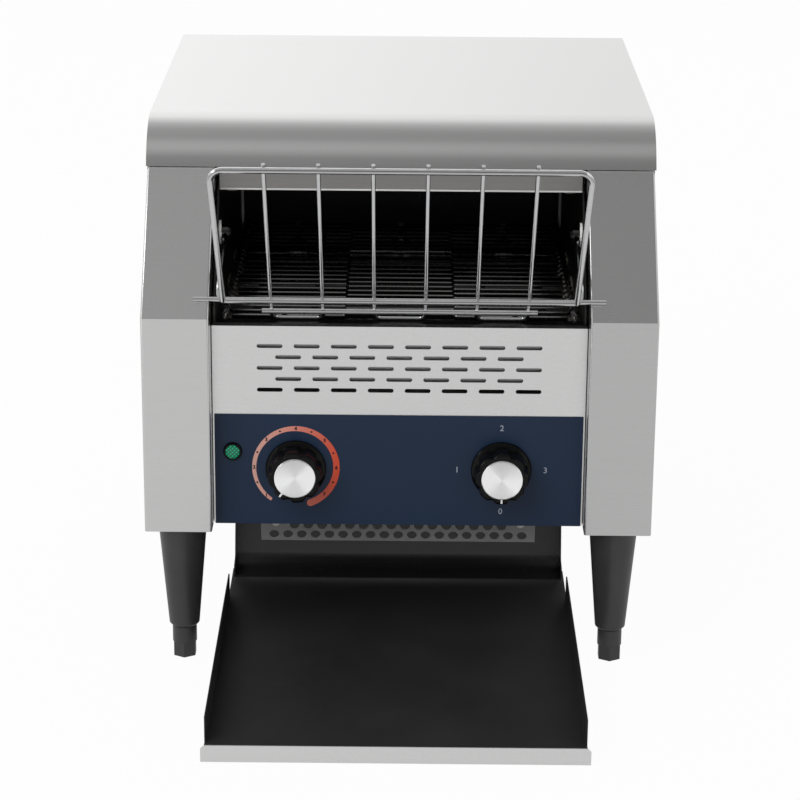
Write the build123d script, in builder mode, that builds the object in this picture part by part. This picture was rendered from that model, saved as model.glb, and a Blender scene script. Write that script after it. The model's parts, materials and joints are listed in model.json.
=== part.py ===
"""Conveyor toaster: a bench-top toaster with a wire belt, an intake rack and a pull-out tray.

Millimetres.  +X is to the operator's right, +Y to the back, +Z up.  The origin is on the
bench under the middle of the whole machine.
"""
from build123d import *
import math
import os

os.makedirs("parts", exist_ok=True)

# ---------------------------------------------------------------- casing
cover_width = 368.0          # top cover, side to side
body_depth = 418.0           # face of the columns to the face of the rear panel
body_top = 387.0             # bench to the top cover
body_bottom = 104.0          # bench to the underside of the casing
sheet = 1.0                  # thickness of the stainless covers
cover_overhang = 1.0         # top cover beyond each side cover
column_width = 48.5          # front face of each side column
bend_height = 264.5          # bench to the bend in the column's face
slope_run = 79.0             # the sloped face leans back by this much ...
slope_rise = 90.0            # ... over this height
column_return = 18.0         # depth of the column's inner return flange
column_bend_radius = 2.0
seam_flange = 12.0           # flanges that the covers are screwed to
nose_radius = 45.0           # rolled front of the top cover
nose_angle = 70.0
nose_setback = 39.81         # sloped face to the axis of the rolled front
lip_length = 1.6             # straight edge below the rolled front
nose_gap = 0.3               # rolled front to the side cover under it
cover_rear_drop = 13.0       # rear flange of the top cover

# ---------------------------------------------------------------- front
panel_recess = 19.0          # face of the columns to the vent panel
panel_top = 254.3            # bench to the top of the vent panel
panel_side_gap = 0.5
panel_top_flange = 8.0
fascia_height = 84.0
fascia_thickness = 1.0
fascia_side_gap = 1.6
vent_length = 18.5
vent_height = 3.0
vent_margin = 32.0           # end of a long row to the side of the panel
vent_row_pitch = 8.2
vent_rows = 5
vents_in_long_row = 8
vent_mid_height = 223.0
apron_depth = 17.0           # glossy strip between the duct plate and the belt
duct_gap = 3.0               # vent panel to the duct plate behind it
duct_bottom = 210.5

# ---------------------------------------------------------------- controls
knob_inset = 59.7            # side of the panel to the middle of each knob
knob_height = 147.0
skirt_diameter = 44.0
skirt_thickness = 3.5
skirt_slant = 12.0           # degrees
grip_diameter = 37.0
grip_length = 17.0
grip_flutes = 8
flute_radius = 4.0
flute_depth = 1.4
knob_gap = 0.5               # knob to the fascia
cap_diameter = 29.5
cap_thickness = 1.0
spindle_diameter = 6.0
spindle_depth = 12.0         # spindle inside the knob
spindle_fit = 0.05
collar_diameter = 10.0       # threaded collar of each control
collar_fit = 0.2
switch_size = 34.0
switch_corner = 3.0
switch_depth = 30.0
regulator_diameter = 30.0
regulator_depth = 16.0
lamp_inset = 14.1            # side of the panel to the middle of the lamp
lamp_height = 160.0
lamp_diameter = 13.6
lens_diameter = 10.4
lamp_body_diameter = 9.0
lamp_body_depth = 22.0
lamp_rim = 2.2
rim_slant = 20.0             # degrees
lens_rise = 1.4
lens_slant = 55.0            # degrees

# ---------------------------------------------------------------- toasting chamber
chamber_gap = 1.3            # return flange of each column to the chamber wall
chamber_sheet = 1.2
chamber_depth = 388.0        # face of the columns to the rear edge of the walls
chamber_front_gap = 3.5      # duct plate to the front edge of the walls
chamber_setback = 20.0       # sloped face to the front edge of the walls
wall_top_gap = 2.0           # top cover to the chamber walls
reflector_drop = 51.0        # top of the casing to the upper reflector
lintel_inset = 30.0          # lintel in front of the axis of the rolled front
lintel_flange = 14.0
wall_rear_flange = 8.0

belt_height = 252.2          # bench to the middle of the belt's wire
belt_setback = 54.0          # face of the columns to the front shaft
belt_pitch = 11.7
belt_teeth = 12
belt_run_links = 22
belt_side_gap = 2.9          # belt to each chamber wall
belt_lane = 40.0             # middle to the inner joints of the belt
belt_edge = 5.0              # width of the edge links
belt_wire = 1.8
belt_wire_gap = 0.2          # end of each edge link to the next strand
belt_sprocket_offset = 83.5
belt_sprocket_width = 4.0
belt_tooth = 1.4             # tooth above the wire's middle
belt_hub_diameter = 22.0
belt_hub_width = 14.0
shaft_diameter = 10.0
shaft_fit = 0.05
hub_fit = 0.02
shaft_end_gap = 22.0         # plain shaft end beyond the chamber wall
bearing_diameter = 16.0
bearing_flange_diameter = 24.0
bearing_flange = 4.0
rail_diameter = 4.0
rail_offset = 62.0           # middle to the inner rails
rail_edge_inset = 24.1       # edge of the belt to the outer rails
rail_gap = 0.3
rail_inset = 20.0            # shaft centre to the end of a rail
cross_bar_diameter = 6.0
cross_bar_inset = 42.0

tube_diameter = 10.0         # quartz heating tube
end_cap_diameter = 16.0
end_cap_length = 14.0
end_cap_reach = 6.0          # end cap outside the chamber wall
end_cap_fit = 0.1
upper_tube_drop = 16.0       # upper reflector to the middle of the upper tubes
upper_tube_setbacks = (190.0, 241.0, 292.0)
lower_tube_height = 237.0
lower_tube_setbacks = (110.0, 180.0, 250.0)
lower_reflector_height = 222.0
lower_reflector_lip = 6.0
sprocket_gap = 2.2           # belt on its sprockets to the lower reflector

# ---------------------------------------------------------------- slide, guard and tray
slide_side_gap = 3.5         # slide to each chamber wall
slide_sheet = 1.0
slide_wall = 10.0
slide_knee_height = 205.0
slide_brow = (178.0, 60.0)   # depth and height where the steep drop starts
slide_foot = (164.0, 13.0)   # depth and height where it ends
slide_end = (143.5, 10.2)
slide_knee_radius = 70.0
slide_brow_radius = 24.0
slide_foot_radius = 14.0
slide_spacer_diameter = 9.0

guard_side_gap = 30.5        # guard to each chamber wall
guard_setback = 42.0
guard_length = 28.0
guard_lean = 18.0
guard_sheet = 1.0
guard_flange = 14.0
guard_hole = 7.4
guard_side_margin = 9.7      # side of the guard to the middle of its first hole
guard_row_pitch = 8.8
guard_row_margin = 5.7
guard_long_row = 19
guard_short_row = 16
guard_screw_inset = 11.0
guard_screw_rise = 2.0       # screws above the short row
guard_screw_diameter = 5.4

tray_reach = 161.0           # tray lip in front of the columns
tray_length = 326.0
tray_side_gap = 1.5          # tray inside the line of the chamber walls
tray_sheet = 1.0
tray_floor_height = 9.0
tray_wall_height = 28.0
tray_wall_setback = 12.0     # lip to the front end of each wall
tray_wall_tail = 58.0        # rear end of each wall to the rear of the floor
lip_overhang = 2.0           # lip beyond each side of the tray
lip_height = 12.5
lip_corner = 2.5

# ---------------------------------------------------------------- base, legs and drive
pan_sheet = 1.5
pan_rear_margin = 26.0
throat_depth = 152.0         # face of the columns to the front of the pan's opening
throat_side_gap = 2.5        # opening inside the line of the chamber walls
throat_gap = 2.0             # control box to the pan's opening
box_roof_height = 203.0
box_sheet = 1.0
leg_inset = 25.9             # side cover to the middle of each leg
leg_setback = 20.0
leg_top_diameter = 35.2
leg_low_diameter = 22.2
leg_low_height = 26.0
leg_chamfer = 2.0
foot_collar_diameter = 17.8
foot_collar_top = 24.0
foot_hex = 15.7
foot_hex_height = 11.0
foot_stud_diameter = 10.0
foot_stud_length = 36.0
foot_fit = 0.05
foot_gap = 0.2               # collar of each foot to its leg
leg_bolt_diameter = 8.0
leg_bolt_length = 14.0

chain_pitch = 9.525
chain_teeth = 12
chain_run_links = 10
chain_angle = -63.0          # from the front shaft down to the motor
chain_inset = 22.8           # chamber wall to the chain
chain_shaft_tail = 3.0       # shaft beyond its chain sprocket
chain_roller_diameter = 6.0
chain_pin_diameter = 3.0
chain_inner_width = 5.7
chain_plate = 1.2
chain_plate_height = 8.0
chain_play = 0.3
chain_tooth = 1.8            # tooth above the chain's pitch circle
chain_root_half = 2.2        # half width of each tooth gap at its root ...
chain_tip_half = 4.3         # ... and at its tip
tooth_fit = 0.35
chain_sprocket_width = 4.8
chain_hub_diameter = 20.0
chain_hub_width = 7.0
motor_shaft_diameter = 8.0
motor_shaft_gap = 1.0        # motor shaft to its hole in the chamber wall
gearbox_size = 58.0
gearbox_corner = 4.0
gearbox_depth = 30.0
gearbox_bore = 20.0
motor_diameter = 50.0
motor_length = 52.0
fan_size = 80.0
fan_depth = 25.0
fan_bore = 76.0
fan_setback = 86.0
fan_height = 154.0
fan_hub_diameter = 34.0
fan_blades = 5
fan_blade_thickness = 1.6
fan_blade_angle = 40.0
fan_tip_gap = 1.5
fan_pin_diameter = 4.0
fan_strut = 5.0
terminal_size = (28.0, 60.0, 22.0)
terminal_setback = 98.0      # rear panel to the middle of the terminal block
terminal_slots = 4

gland_reach = 13.0           # cable gland beyond the rear panel
gland_diameter = 20.0
gland_cap_diameter = 15.0
gland_cap_slant = 12.0       # degrees
gland_hole_diameter = 14.0
gland_neck_diameter = 13.6
gland_bore = 8.0
gland_inset = 25.0           # side cover to the middle of the gland
gland_height = 132.0
rear_slot_height = 5.0
rear_slot_pitch = 14.0
rear_slot_gap = 17.6
rear_slot_margin = 20.1      # slots to the inner face of each column
rear_slots_across = 4
rear_slots_up = 5
rear_slots_drop = 67.0       # top of the casing to the middle row
screw_head_diameter = 8.0
screw_head_height = 2.0
screw_shank_diameter = 3.6

# ---------------------------------------------------------------- intake rack
rack_wire = 3.0
rack_frame_wire = 4.4
rack_rod = 3.6
rack_wires = 6
rack_top_depth = -38.0       # top bar in front of the columns
rack_top_drop = 5.5          # top of the casing to the top bar
rack_low_depth = 8.5         # cross rod behind the face of the columns
rack_rest_gap = 0.05         # cross rod to the sloped faces that it rests on
rack_toe = (39.0, 255.0)     # depth and height of the loops over the apron
rack_top_inset = 2.0         # line of each chamber wall to the end of the top bar
rack_low_inset = 2.7         # arm to the lower end of the ring's side
rack_corner = 9.0
rack_rod_overhang = 11.0     # cross rod over each column
rack_tie_inset = 34.0        # line of each chamber wall to the end of the tie rod
rack_tie_tail = 6.5          # tie rod beyond the outer wires
rack_tie_share = 0.48        # place of the tie rod along the toes
rack_tip = 3.0               # wire ends above the top bar
rack_splay = 1.8             # outer wires lean out by this much at the top
rack_toe_radius = 6.0
rack_pivot_inset = 7.0       # pivot in front of the lintel
rack_pivot_drop = 30.0       # upper reflector to the pivot
rack_arm_inset = 4.6         # each arm to its chamber wall
rack_arm_top = (6.0, 288.0)  # depth and height where each arm turns back
rack_arm_radius = 5.0
rack_eye_diameter = 11.0
rack_eye_width = 4.6
rack_pin_diameter = 6.0
rack_pin_fit = 0.05
rack_pin_collar = 17.0       # collar of each pin on the inner face of its wall
rack_pin_head = 9.0
rack_pin_head_height = 1.2
rack_pin_play = 0.3          # eye to the collars on each side of it
weld = 0.4                   # depth to which crossing wires are welded together

# ---------------------------------------------------------------- worked out
slope_length = math.hypot(slope_run, slope_rise)
lean_y, lean_z = slope_run / slope_length, slope_rise / slope_length
front = -(tray_reach + body_depth + gland_reach) / 2 + tray_reach
rear = front + body_depth
column_outer = cover_width / 2 - cover_overhang
column_inner = column_outer - column_width
seat = body_top - sheet
nose_depth = (nose_setback + lean_y * (body_top - nose_radius - bend_height)) / lean_z
lintel_depth = nose_depth - lintel_inset
reflector_height = body_top - reflector_drop
pan_bottom = body_bottom + sheet
pan_top = pan_bottom + pan_sheet
panel_half = column_inner - panel_side_gap
panel_face = front + panel_recess
panel_back = panel_face + sheet
duct_face = panel_back + duct_gap
wall_outer = column_inner - chamber_gap
chamber_half = wall_outer - chamber_sheet
wall_front = duct_face + sheet + chamber_front_gap
wall_rear = front + chamber_depth
wall_top = seat - wall_top_gap
box_rear = front + throat_depth - throat_gap
apron_top = panel_top - sheet
leg_offset = column_outer - leg_inset
throat_half = chamber_half - throat_side_gap
slide_half = chamber_half - slide_side_gap
slide_rear = wall_rear - chamber_sheet
guard_half = chamber_half - guard_side_gap
tray_half = chamber_half - tray_side_gap
lip_half = tray_half + lip_overhang
belt_half_width = chamber_half - belt_side_gap
belt_radius = belt_pitch / (2 * math.sin(math.pi / belt_teeth))
shaft_height = belt_height - belt_radius
front_shaft_y = front + belt_setback
rear_shaft_y = front_shaft_y + belt_pitch * belt_run_links
chain_line = wall_outer + chain_inset
chain_radius = chain_pitch / (2 * math.sin(math.pi / chain_teeth))
chain_span = chain_pitch * chain_run_links
motor_y = front_shaft_y + chain_span * math.cos(math.radians(chain_angle))
motor_z = shaft_height + chain_span * math.sin(math.radians(chain_angle))


def facing(y):
    """Sketch plane at depth y: X to the right, Z up; a negative extrusion goes to the back."""
    return Plane.XZ.offset(-y)


def across(x):
    """Sketch plane at x: Y to the right, Z up; a positive extrusion goes to +X."""
    return Plane.YZ.offset(x)


def write(piece, label):
    """Label a finished piece and write it as its own file."""
    piece.part.label = label
    export_step(piece.part, f"parts/{label}.step")


def bent_sheet(points, thickness, side, radius=None):
    """Outline of a bent sheet, seen from its edge, whose outer face runs through the points."""
    with BuildLine() as outline:
        if radius:
            FilletPolyline(*points, radius=radius)
        else:
            Polyline(*points)
        offset(amount=thickness, side=side)
    return outline.edges()


def slope_depth(height, setback):
    """Depth at a height of the line that runs `setback` behind the columns' sloped face."""
    return (setback + lean_y * (height - bend_height)) / lean_z


def slope_height(depth, setback):
    """Height at a depth of the line that runs `setback` behind the columns' sloped face."""
    return bend_height + (lean_z * depth - setback) / lean_y


# ================================================================ casing
def column_section():
    """Outline of a side cover from the side: upright face, sloped face, rolled nose, flat top."""
    radius = nose_radius - sheet - nose_gap
    arc_y, arc_z = front + nose_depth + nose_gap, seat - radius
    along = (arc_y - front) * lean_y + (arc_z - bend_height) * lean_z
    spare = (arc_y - front) ** 2 + (arc_z - bend_height) ** 2 - radius ** 2
    reach = along - math.sqrt(along ** 2 - spare)
    slope_end = (front + reach * lean_y, bend_height + reach * lean_z)
    with BuildLine() as outline:
        Polyline((arc_y, seat), (rear - sheet, seat), (rear - sheet, body_bottom),
                 (front, body_bottom), (front, bend_height), slope_end)
        RadiusArc(slope_end, (arc_y, seat), radius)
    return outline.edges()


def return_cut():
    """Outline of what is taken off a side cover's inner wall behind its return flange."""
    low = slope_height(column_return, column_return)
    top = body_top + sheet
    with BuildLine() as outline:
        Polyline((front + column_return, body_bottom - sheet), (front + column_return, low),
                 (front + slope_depth(top, column_return), top), (rear + sheet, top),
                 (rear + sheet, body_bottom - sheet), close=True)
    return outline.edges()


def make_side_cover(side, label):
    """Bent cover of one side: outer wall, column face with its return, and seam flanges."""
    mid = side * (column_inner + column_width / 2)
    with BuildPart() as cover:
        with BuildSketch(across(side * column_inner)):
            make_face(column_section())
        extrude(amount=side * column_width)
        bends = (cover.edges().filter_by(Axis.X, reverse=True)
                 .filter_by(lambda e: e.center().Y < front + slope_run
                            and e.center().Z > body_bottom + sheet))
        fillet(bends, column_bend_radius)
        with BuildSketch(across(side * (column_inner + sheet))):
            make_face(column_section())
            offset(amount=-sheet)
        extrude(amount=side * (column_width - 2 * sheet), mode=Mode.SUBTRACT)
        with BuildSketch(across(side * (column_inner - sheet))):
            make_face(return_cut())
        extrude(amount=side * 2 * sheet, mode=Mode.SUBTRACT)
        opening = column_width - seam_flange
        opening_x = side * (column_inner + opening / 2 - sheet)
        with BuildSketch(Plane.XY.offset(seat - 2 * sheet)):
            with Locations((opening_x, (front + nose_depth + rear - seam_flange) / 2)):
                Rectangle(opening, rear - seam_flange - front - nose_depth)
        extrude(amount=3 * sheet, mode=Mode.SUBTRACT)
        with BuildSketch(Plane.XY.offset(body_bottom - sheet)):
            with Locations((opening_x, (front + rear) / 2)):
                Rectangle(opening, body_depth - 4 * leg_setback)
            with Locations((side * leg_offset, front + leg_setback),
                           (side * leg_offset, rear - leg_setback)):
                Circle(leg_bolt_diameter / 2 + collar_fit)
        extrude(amount=3 * sheet, mode=Mode.SUBTRACT)
        with BuildSketch(facing(rear - 3 * sheet)):
            with Locations((opening_x, (body_bottom + seat) / 2)):
                Rectangle(opening, seat - body_bottom - 2 * seam_flange)
        extrude(amount=-4 * sheet, mode=Mode.SUBTRACT)
    write(cover, label)


make_side_cover(-1, "left_side_cover")
make_side_cover(1, "right_side_cover")

with BuildPart() as top_cover:
    nose_y, nose_z = front + nose_depth, body_top - nose_radius
    lip_y = nose_y - nose_radius * math.sin(math.radians(nose_angle))
    lip_z = nose_z + nose_radius * math.cos(math.radians(nose_angle))
    with BuildSketch(across(-cover_width / 2)):
        with BuildLine():
            Polyline((rear + sheet, body_top - cover_rear_drop), (rear + sheet, body_top),
                     (nose_y, body_top))
            CenterArc((nose_y, nose_z), nose_radius, 90, nose_angle)
            PolarLine((lip_y, lip_z), lip_length, angle=180 + nose_angle)
            offset(amount=sheet, side=Side.LEFT)
        make_face()
    extrude(amount=cover_width)
write(top_cover, "top_cover")

gland_place = (gland_inset - column_outer, gland_height)
rear_slot_space = (2 * (column_inner - rear_slot_margin) + rear_slot_gap) / rear_slots_across
rear_screw_heights = (body_bottom + seam_flange / 2, (body_bottom + seat) / 2,
                      seat - cover_rear_drop - seam_flange / 2)
rear_screw_places = [(side * (column_outer - seam_flange / 2), height)
                     for side in (-1, 1) for height in rear_screw_heights]

with BuildPart() as rear_panel:
    with BuildSketch(facing(rear - sheet)):
        with Locations((0, (body_bottom + seat) / 2)):
            Rectangle(2 * column_outer, seat - body_bottom)
        with Locations((0, body_top - rear_slots_drop)):
            with GridLocations(rear_slot_space, rear_slot_pitch, rear_slots_across, rear_slots_up):
                Rectangle(rear_slot_space - rear_slot_gap, rear_slot_height, mode=Mode.SUBTRACT)
        with Locations(gland_place):
            Circle(gland_hole_diameter / 2, mode=Mode.SUBTRACT)
        with Locations(*rear_screw_places):
            Circle(screw_shank_diameter / 2, mode=Mode.SUBTRACT)
    extrude(amount=-sheet)
write(rear_panel, "rear_panel")

with BuildPart() as rear_panel_screws:
    with BuildSketch(facing(rear)):
        with Locations(*rear_screw_places):
            Circle(screw_head_diameter / 2)
    extrude(amount=-screw_head_height)
    with BuildSketch(facing(rear)):
        with Locations(*rear_screw_places):
            Circle(screw_shank_diameter / 2 - collar_fit)
    extrude(amount=sheet)
write(rear_panel_screws, "rear_panel_screws")

with BuildPart() as cable_gland:
    with BuildSketch(facing(rear)):
        with Locations(gland_place):
            RegularPolygon(gland_diameter / 2, 6)
    extrude(amount=-gland_reach / 2)
    with BuildSketch(facing(rear + gland_reach / 2)):
        with Locations(gland_place):
            Circle(gland_cap_diameter / 2)
    extrude(amount=-gland_reach / 2, taper=gland_cap_slant)
    with BuildSketch(facing(rear)):
        with Locations(gland_place):
            Circle(gland_neck_diameter / 2)
    extrude(amount=4 * sheet)
    with BuildSketch(facing(rear + gland_reach)):
        with Locations(gland_place):
            Circle(gland_bore / 2)
    extrude(amount=gland_reach + 4 * sheet, mode=Mode.SUBTRACT)
write(cable_gland, "cable_gland")

# ================================================================ base
pan_half = column_outer - sheet
leg_places = {
    "front_left": (-leg_offset, front + leg_setback),
    "front_right": (leg_offset, front + leg_setback),
    "rear_left": (-leg_offset, rear - leg_setback),
    "rear_right": (leg_offset, rear - leg_setback),
}

with BuildPart() as base_pan:
    pan_rear = rear - 2 * sheet
    with BuildSketch(Plane.XY.offset(pan_bottom)):
        for side in (-1, 1):
            with Locations((side * (column_inner + sheet + pan_half) / 2, (front + sheet + pan_rear) / 2)):
                Rectangle(pan_half - column_inner - sheet, pan_rear - front - sheet)
        with Locations((0, (panel_back + pan_rear) / 2)):
            Rectangle(2 * (column_inner + 2 * sheet), pan_rear - panel_back)
        throat_rear = rear - pan_rear_margin
        with Locations((0, (front + throat_depth + throat_rear) / 2)):
            Rectangle(2 * throat_half, throat_rear - front - throat_depth, mode=Mode.SUBTRACT)
        with Locations(*leg_places.values()):
            Circle(leg_bolt_diameter / 2 + collar_fit, mode=Mode.SUBTRACT)
    extrude(amount=pan_sheet)
write(base_pan, "base_pan")

# ================================================================ front
knob_offset = panel_half - knob_inset
control_places = ((-knob_offset, knob_height), (knob_offset, knob_height))
lamp_centre = (lamp_inset - panel_half, lamp_height)
vent_pitch = (2 * (panel_half - vent_margin) - vent_length) / (vents_in_long_row - 1)

with BuildPart() as front_panel:
    with BuildSketch(across(-panel_half)):
        make_face(bent_sheet([(panel_face + panel_top_flange, panel_top), (panel_face, panel_top),
                              (panel_face, body_bottom)], sheet, Side.LEFT))
    extrude(amount=2 * panel_half)
    with BuildSketch(facing(panel_face)):
        for row in range(vent_rows):
            count = vents_in_long_row - row % 2
            with Locations((0, vent_mid_height + vent_row_pitch * (row - (vent_rows - 1) / 2))):
                with GridLocations(vent_pitch, 1, count, 1):
                    SlotOverall(vent_length, vent_height)
        with Locations(*control_places):
            Circle(collar_diameter / 2 + collar_fit)
        with Locations(lamp_centre):
            Circle(lamp_body_diameter / 2 + collar_fit)
    extrude(amount=-sheet, mode=Mode.SUBTRACT)
write(front_panel, "front_panel")

with BuildPart() as control_fascia:
    with BuildSketch(facing(panel_face - fascia_thickness)):
        with Locations((0, body_bottom + fascia_height / 2)):
            Rectangle(2 * (column_inner - fascia_side_gap), fascia_height)
        with Locations(*control_places):
            Circle(collar_diameter / 2 + collar_fit, mode=Mode.SUBTRACT)
        with Locations(lamp_centre):
            Circle(lamp_body_diameter / 2 + collar_fit, mode=Mode.SUBTRACT)
    extrude(amount=-fascia_thickness)
write(control_fascia, "control_fascia")

with BuildPart() as duct_plate:
    with BuildSketch(across(-chamber_half)):
        make_face(bent_sheet([(panel_back, duct_bottom), (duct_face, duct_bottom),
                              (duct_face, apron_top - sheet)], sheet, Side.RIGHT))
    extrude(amount=2 * chamber_half)
write(duct_plate, "duct_plate")

with BuildPart() as belt_apron:
    apron_front = duct_face + sheet
    with BuildSketch(across(-chamber_half)):
        make_face(bent_sheet([(apron_front + apron_depth, apron_top), (panel_back, apron_top)],
                             sheet, Side.LEFT))
    extrude(amount=2 * chamber_half)
write(belt_apron, "belt_apron")

# ================================================================ controls
fascia_face = panel_face - fascia_thickness
knob_back = fascia_face - knob_gap
knob_front = knob_back - skirt_thickness - grip_length


def make_knob(x, label):
    """Skirted knob with a fluted grip and a blind hole for its spindle."""
    centre = (x, knob_height)
    with BuildPart() as knob:
        with BuildSketch(facing(knob_back)):
            with Locations(centre):
                Circle(skirt_diameter / 2)
        extrude(amount=skirt_thickness, taper=skirt_slant)
        with BuildSketch(facing(knob_back - skirt_thickness)):
            with Locations(centre):
                Circle(grip_diameter / 2)
                with PolarLocations(grip_diameter / 2 + flute_radius - flute_depth, grip_flutes,
                                    start_angle=180 / grip_flutes):
                    Circle(flute_radius, mode=Mode.SUBTRACT)
        extrude(amount=grip_length)
        with BuildSketch(facing(knob_back)):
            with Locations(centre):
                Circle(spindle_diameter / 2 + hub_fit)
        extrude(amount=spindle_depth, mode=Mode.SUBTRACT)
    write(knob, label)


def make_cap(x, label):
    """Spun metal disc on the front of a knob."""
    with BuildPart() as cap:
        with BuildSketch(facing(knob_front)):
            with Locations((x, knob_height)):
                Circle(cap_diameter / 2)
        extrude(amount=cap_thickness)
    write(cap, label)


def make_spindle(x, depth, label):
    """Steel spindle from inside a control to inside its knob."""
    with BuildPart() as spindle:
        with BuildSketch(facing(panel_back + depth)):
            with Locations((x, knob_height)):
                Circle(spindle_diameter / 2)
        extrude(amount=panel_back + depth - knob_back + spindle_depth)
    write(spindle, label)


def make_control(x, outline, depth, label):
    """Body of a control behind the panel, with its collar and the bore for the spindle."""
    bore_depth = depth / 2
    with BuildPart() as control:
        with BuildSketch(facing(panel_back)):
            with Locations((x, knob_height)):
                add(outline)
        extrude(amount=-depth)
        with BuildSketch(facing(panel_back)):
            with Locations((x, knob_height)):
                Circle(collar_diameter / 2)
        extrude(amount=panel_back - fascia_face)
        with BuildSketch(facing(fascia_face)):
            with Locations((x, knob_height)):
                Circle(spindle_diameter / 2 + spindle_fit)
        extrude(amount=-(panel_back - fascia_face + bore_depth), mode=Mode.SUBTRACT)
    write(control, label)


with BuildSketch() as switch_outline:
    RectangleRounded(switch_size, switch_size, switch_corner)
with BuildSketch() as regulator_outline:
    Circle(regulator_diameter / 2)

make_control(knob_offset, switch_outline.sketch, switch_depth, "selector_switch")
make_control(-knob_offset, regulator_outline.sketch, regulator_depth, "colour_regulator")
make_spindle(knob_offset, switch_depth / 2 - sheet, "selector_spindle")
make_spindle(-knob_offset, regulator_depth / 2 - sheet, "colour_spindle")
make_knob(knob_offset, "selector_knob")
make_knob(-knob_offset, "colour_knob")
make_cap(knob_offset, "selector_knob_cap")
make_cap(-knob_offset, "colour_knob_cap")

with BuildPart() as lamp_bezel:
    with BuildSketch(facing(fascia_face)):
        with Locations(lamp_centre):
            Circle(lamp_diameter / 2)
    extrude(amount=lamp_rim, taper=rim_slant)
    with BuildSketch(facing(fascia_face)):
        with Locations(lamp_centre):
            Circle(lamp_body_diameter / 2)
    extrude(amount=-lamp_body_depth)
    with BuildSketch(facing(fascia_face - lamp_rim)):
        with Locations(lamp_centre):
            Circle(lens_diameter / 2 + hub_fit)
    extrude(amount=-lamp_rim / 2, mode=Mode.SUBTRACT)
write(lamp_bezel, "lamp_bezel")

with BuildPart() as lamp_lens:
    with BuildSketch(facing(fascia_face - lamp_rim / 2)):
        with Locations(lamp_centre):
            Circle(lens_diameter / 2)
    extrude(amount=lamp_rim / 2)
    with BuildSketch(facing(fascia_face - lamp_rim)):
        with Locations(lamp_centre):
            Circle(lens_diameter / 2)
    extrude(amount=lens_rise, taper=lens_slant)
write(lamp_lens, "lamp_lens")

# ================================================================ toasting chamber
upper_tubes = [(front + depth, reflector_height - upper_tube_drop) for depth in upper_tube_setbacks]
lower_tubes = [(front + depth, lower_tube_height) for depth in lower_tube_setbacks]
shaft_places = [(front_shaft_y, shaft_height), (rear_shaft_y, shaft_height)]
rack_pivot = (lintel_depth - rack_pivot_inset, reflector_height - rack_pivot_drop)
pivot_place = (front + rack_pivot[0], rack_pivot[1])


def make_chamber_wall(side, label):
    """Inner wall that carries the shafts, the heating tubes and the slide."""
    inner = side * chamber_half
    foot = slope_height(wall_front - front, chamber_setback)
    with BuildPart() as wall:
        with BuildSketch(across(inner)):
            with BuildLine():
                Polyline((wall_front, pan_top), (wall_front, foot),
                         (front + slope_depth(wall_top, chamber_setback), wall_top),
                         (wall_rear, wall_top), (wall_rear, pan_top), close=True)
            make_face()
            with Locations(*shaft_places):
                Circle(bearing_diameter / 2 + hub_fit, mode=Mode.SUBTRACT)
            with Locations(*upper_tubes, *lower_tubes):
                Rectangle(end_cap_diameter + end_cap_fit, end_cap_diameter + end_cap_fit,
                          mode=Mode.SUBTRACT)
            with Locations(pivot_place):
                Circle(rack_pin_diameter / 2 + hub_fit, mode=Mode.SUBTRACT)
            if side > 0:
                with Locations((motor_y, motor_z)):
                    Circle(motor_shaft_diameter / 2 + motor_shaft_gap, mode=Mode.SUBTRACT)
            else:
                with Locations((front + fan_setback, fan_height)):
                    Circle(fan_bore / 2, mode=Mode.SUBTRACT)
        extrude(amount=side * chamber_sheet)
        with BuildSketch(facing(wall_rear)):
            with Locations((side * (chamber_half - wall_rear_flange / 2), (pan_top + wall_top) / 2)):
                Rectangle(wall_rear_flange, wall_top - pan_top)
        extrude(amount=chamber_sheet)
    write(wall, label)


make_chamber_wall(-1, "left_chamber_wall")
make_chamber_wall(1, "right_chamber_wall")

with BuildPart() as upper_reflector:
    lintel_y = front + lintel_depth
    with BuildSketch(across(-chamber_half)):
        make_face(bent_sheet([(lintel_y, body_top - lintel_flange), (lintel_y, reflector_height),
                              (slide_rear - slide_sheet, reflector_height)], sheet, Side.LEFT))
    extrude(amount=2 * chamber_half)
write(upper_reflector, "upper_reflector")

with BuildPart() as lower_reflector:
    reflector_front = front_shaft_y + belt_radius + belt_tooth + sprocket_gap
    reflector_rear = rear_shaft_y - belt_radius - belt_tooth - sprocket_gap
    lip_top = lower_reflector_height + lower_reflector_lip
    with BuildSketch(across(-chamber_half)):
        make_face(bent_sheet([(reflector_front, lip_top),
                              (reflector_front, lower_reflector_height),
                              (reflector_rear, lower_reflector_height),
                              (reflector_rear, lip_top)], sheet, Side.LEFT))
    extrude(amount=2 * chamber_half)
write(lower_reflector, "lower_reflector")

cap_inner = wall_outer - end_cap_length + end_cap_reach

with BuildPart() as heating_tubes:
    with BuildSketch(across(-cap_inner)):
        with Locations(*upper_tubes, *lower_tubes):
            Circle(tube_diameter / 2)
    extrude(amount=2 * cap_inner)
write(heating_tubes, "heating_tubes")

with BuildPart() as tube_end_caps:
    for side in (-1, 1):
        with BuildSketch(across(side * cap_inner)):
            with Locations(*upper_tubes, *lower_tubes):
                Rectangle(end_cap_diameter, end_cap_diameter)
        extrude(amount=side * end_cap_length)
write(tube_end_caps, "tube_end_caps")

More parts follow.
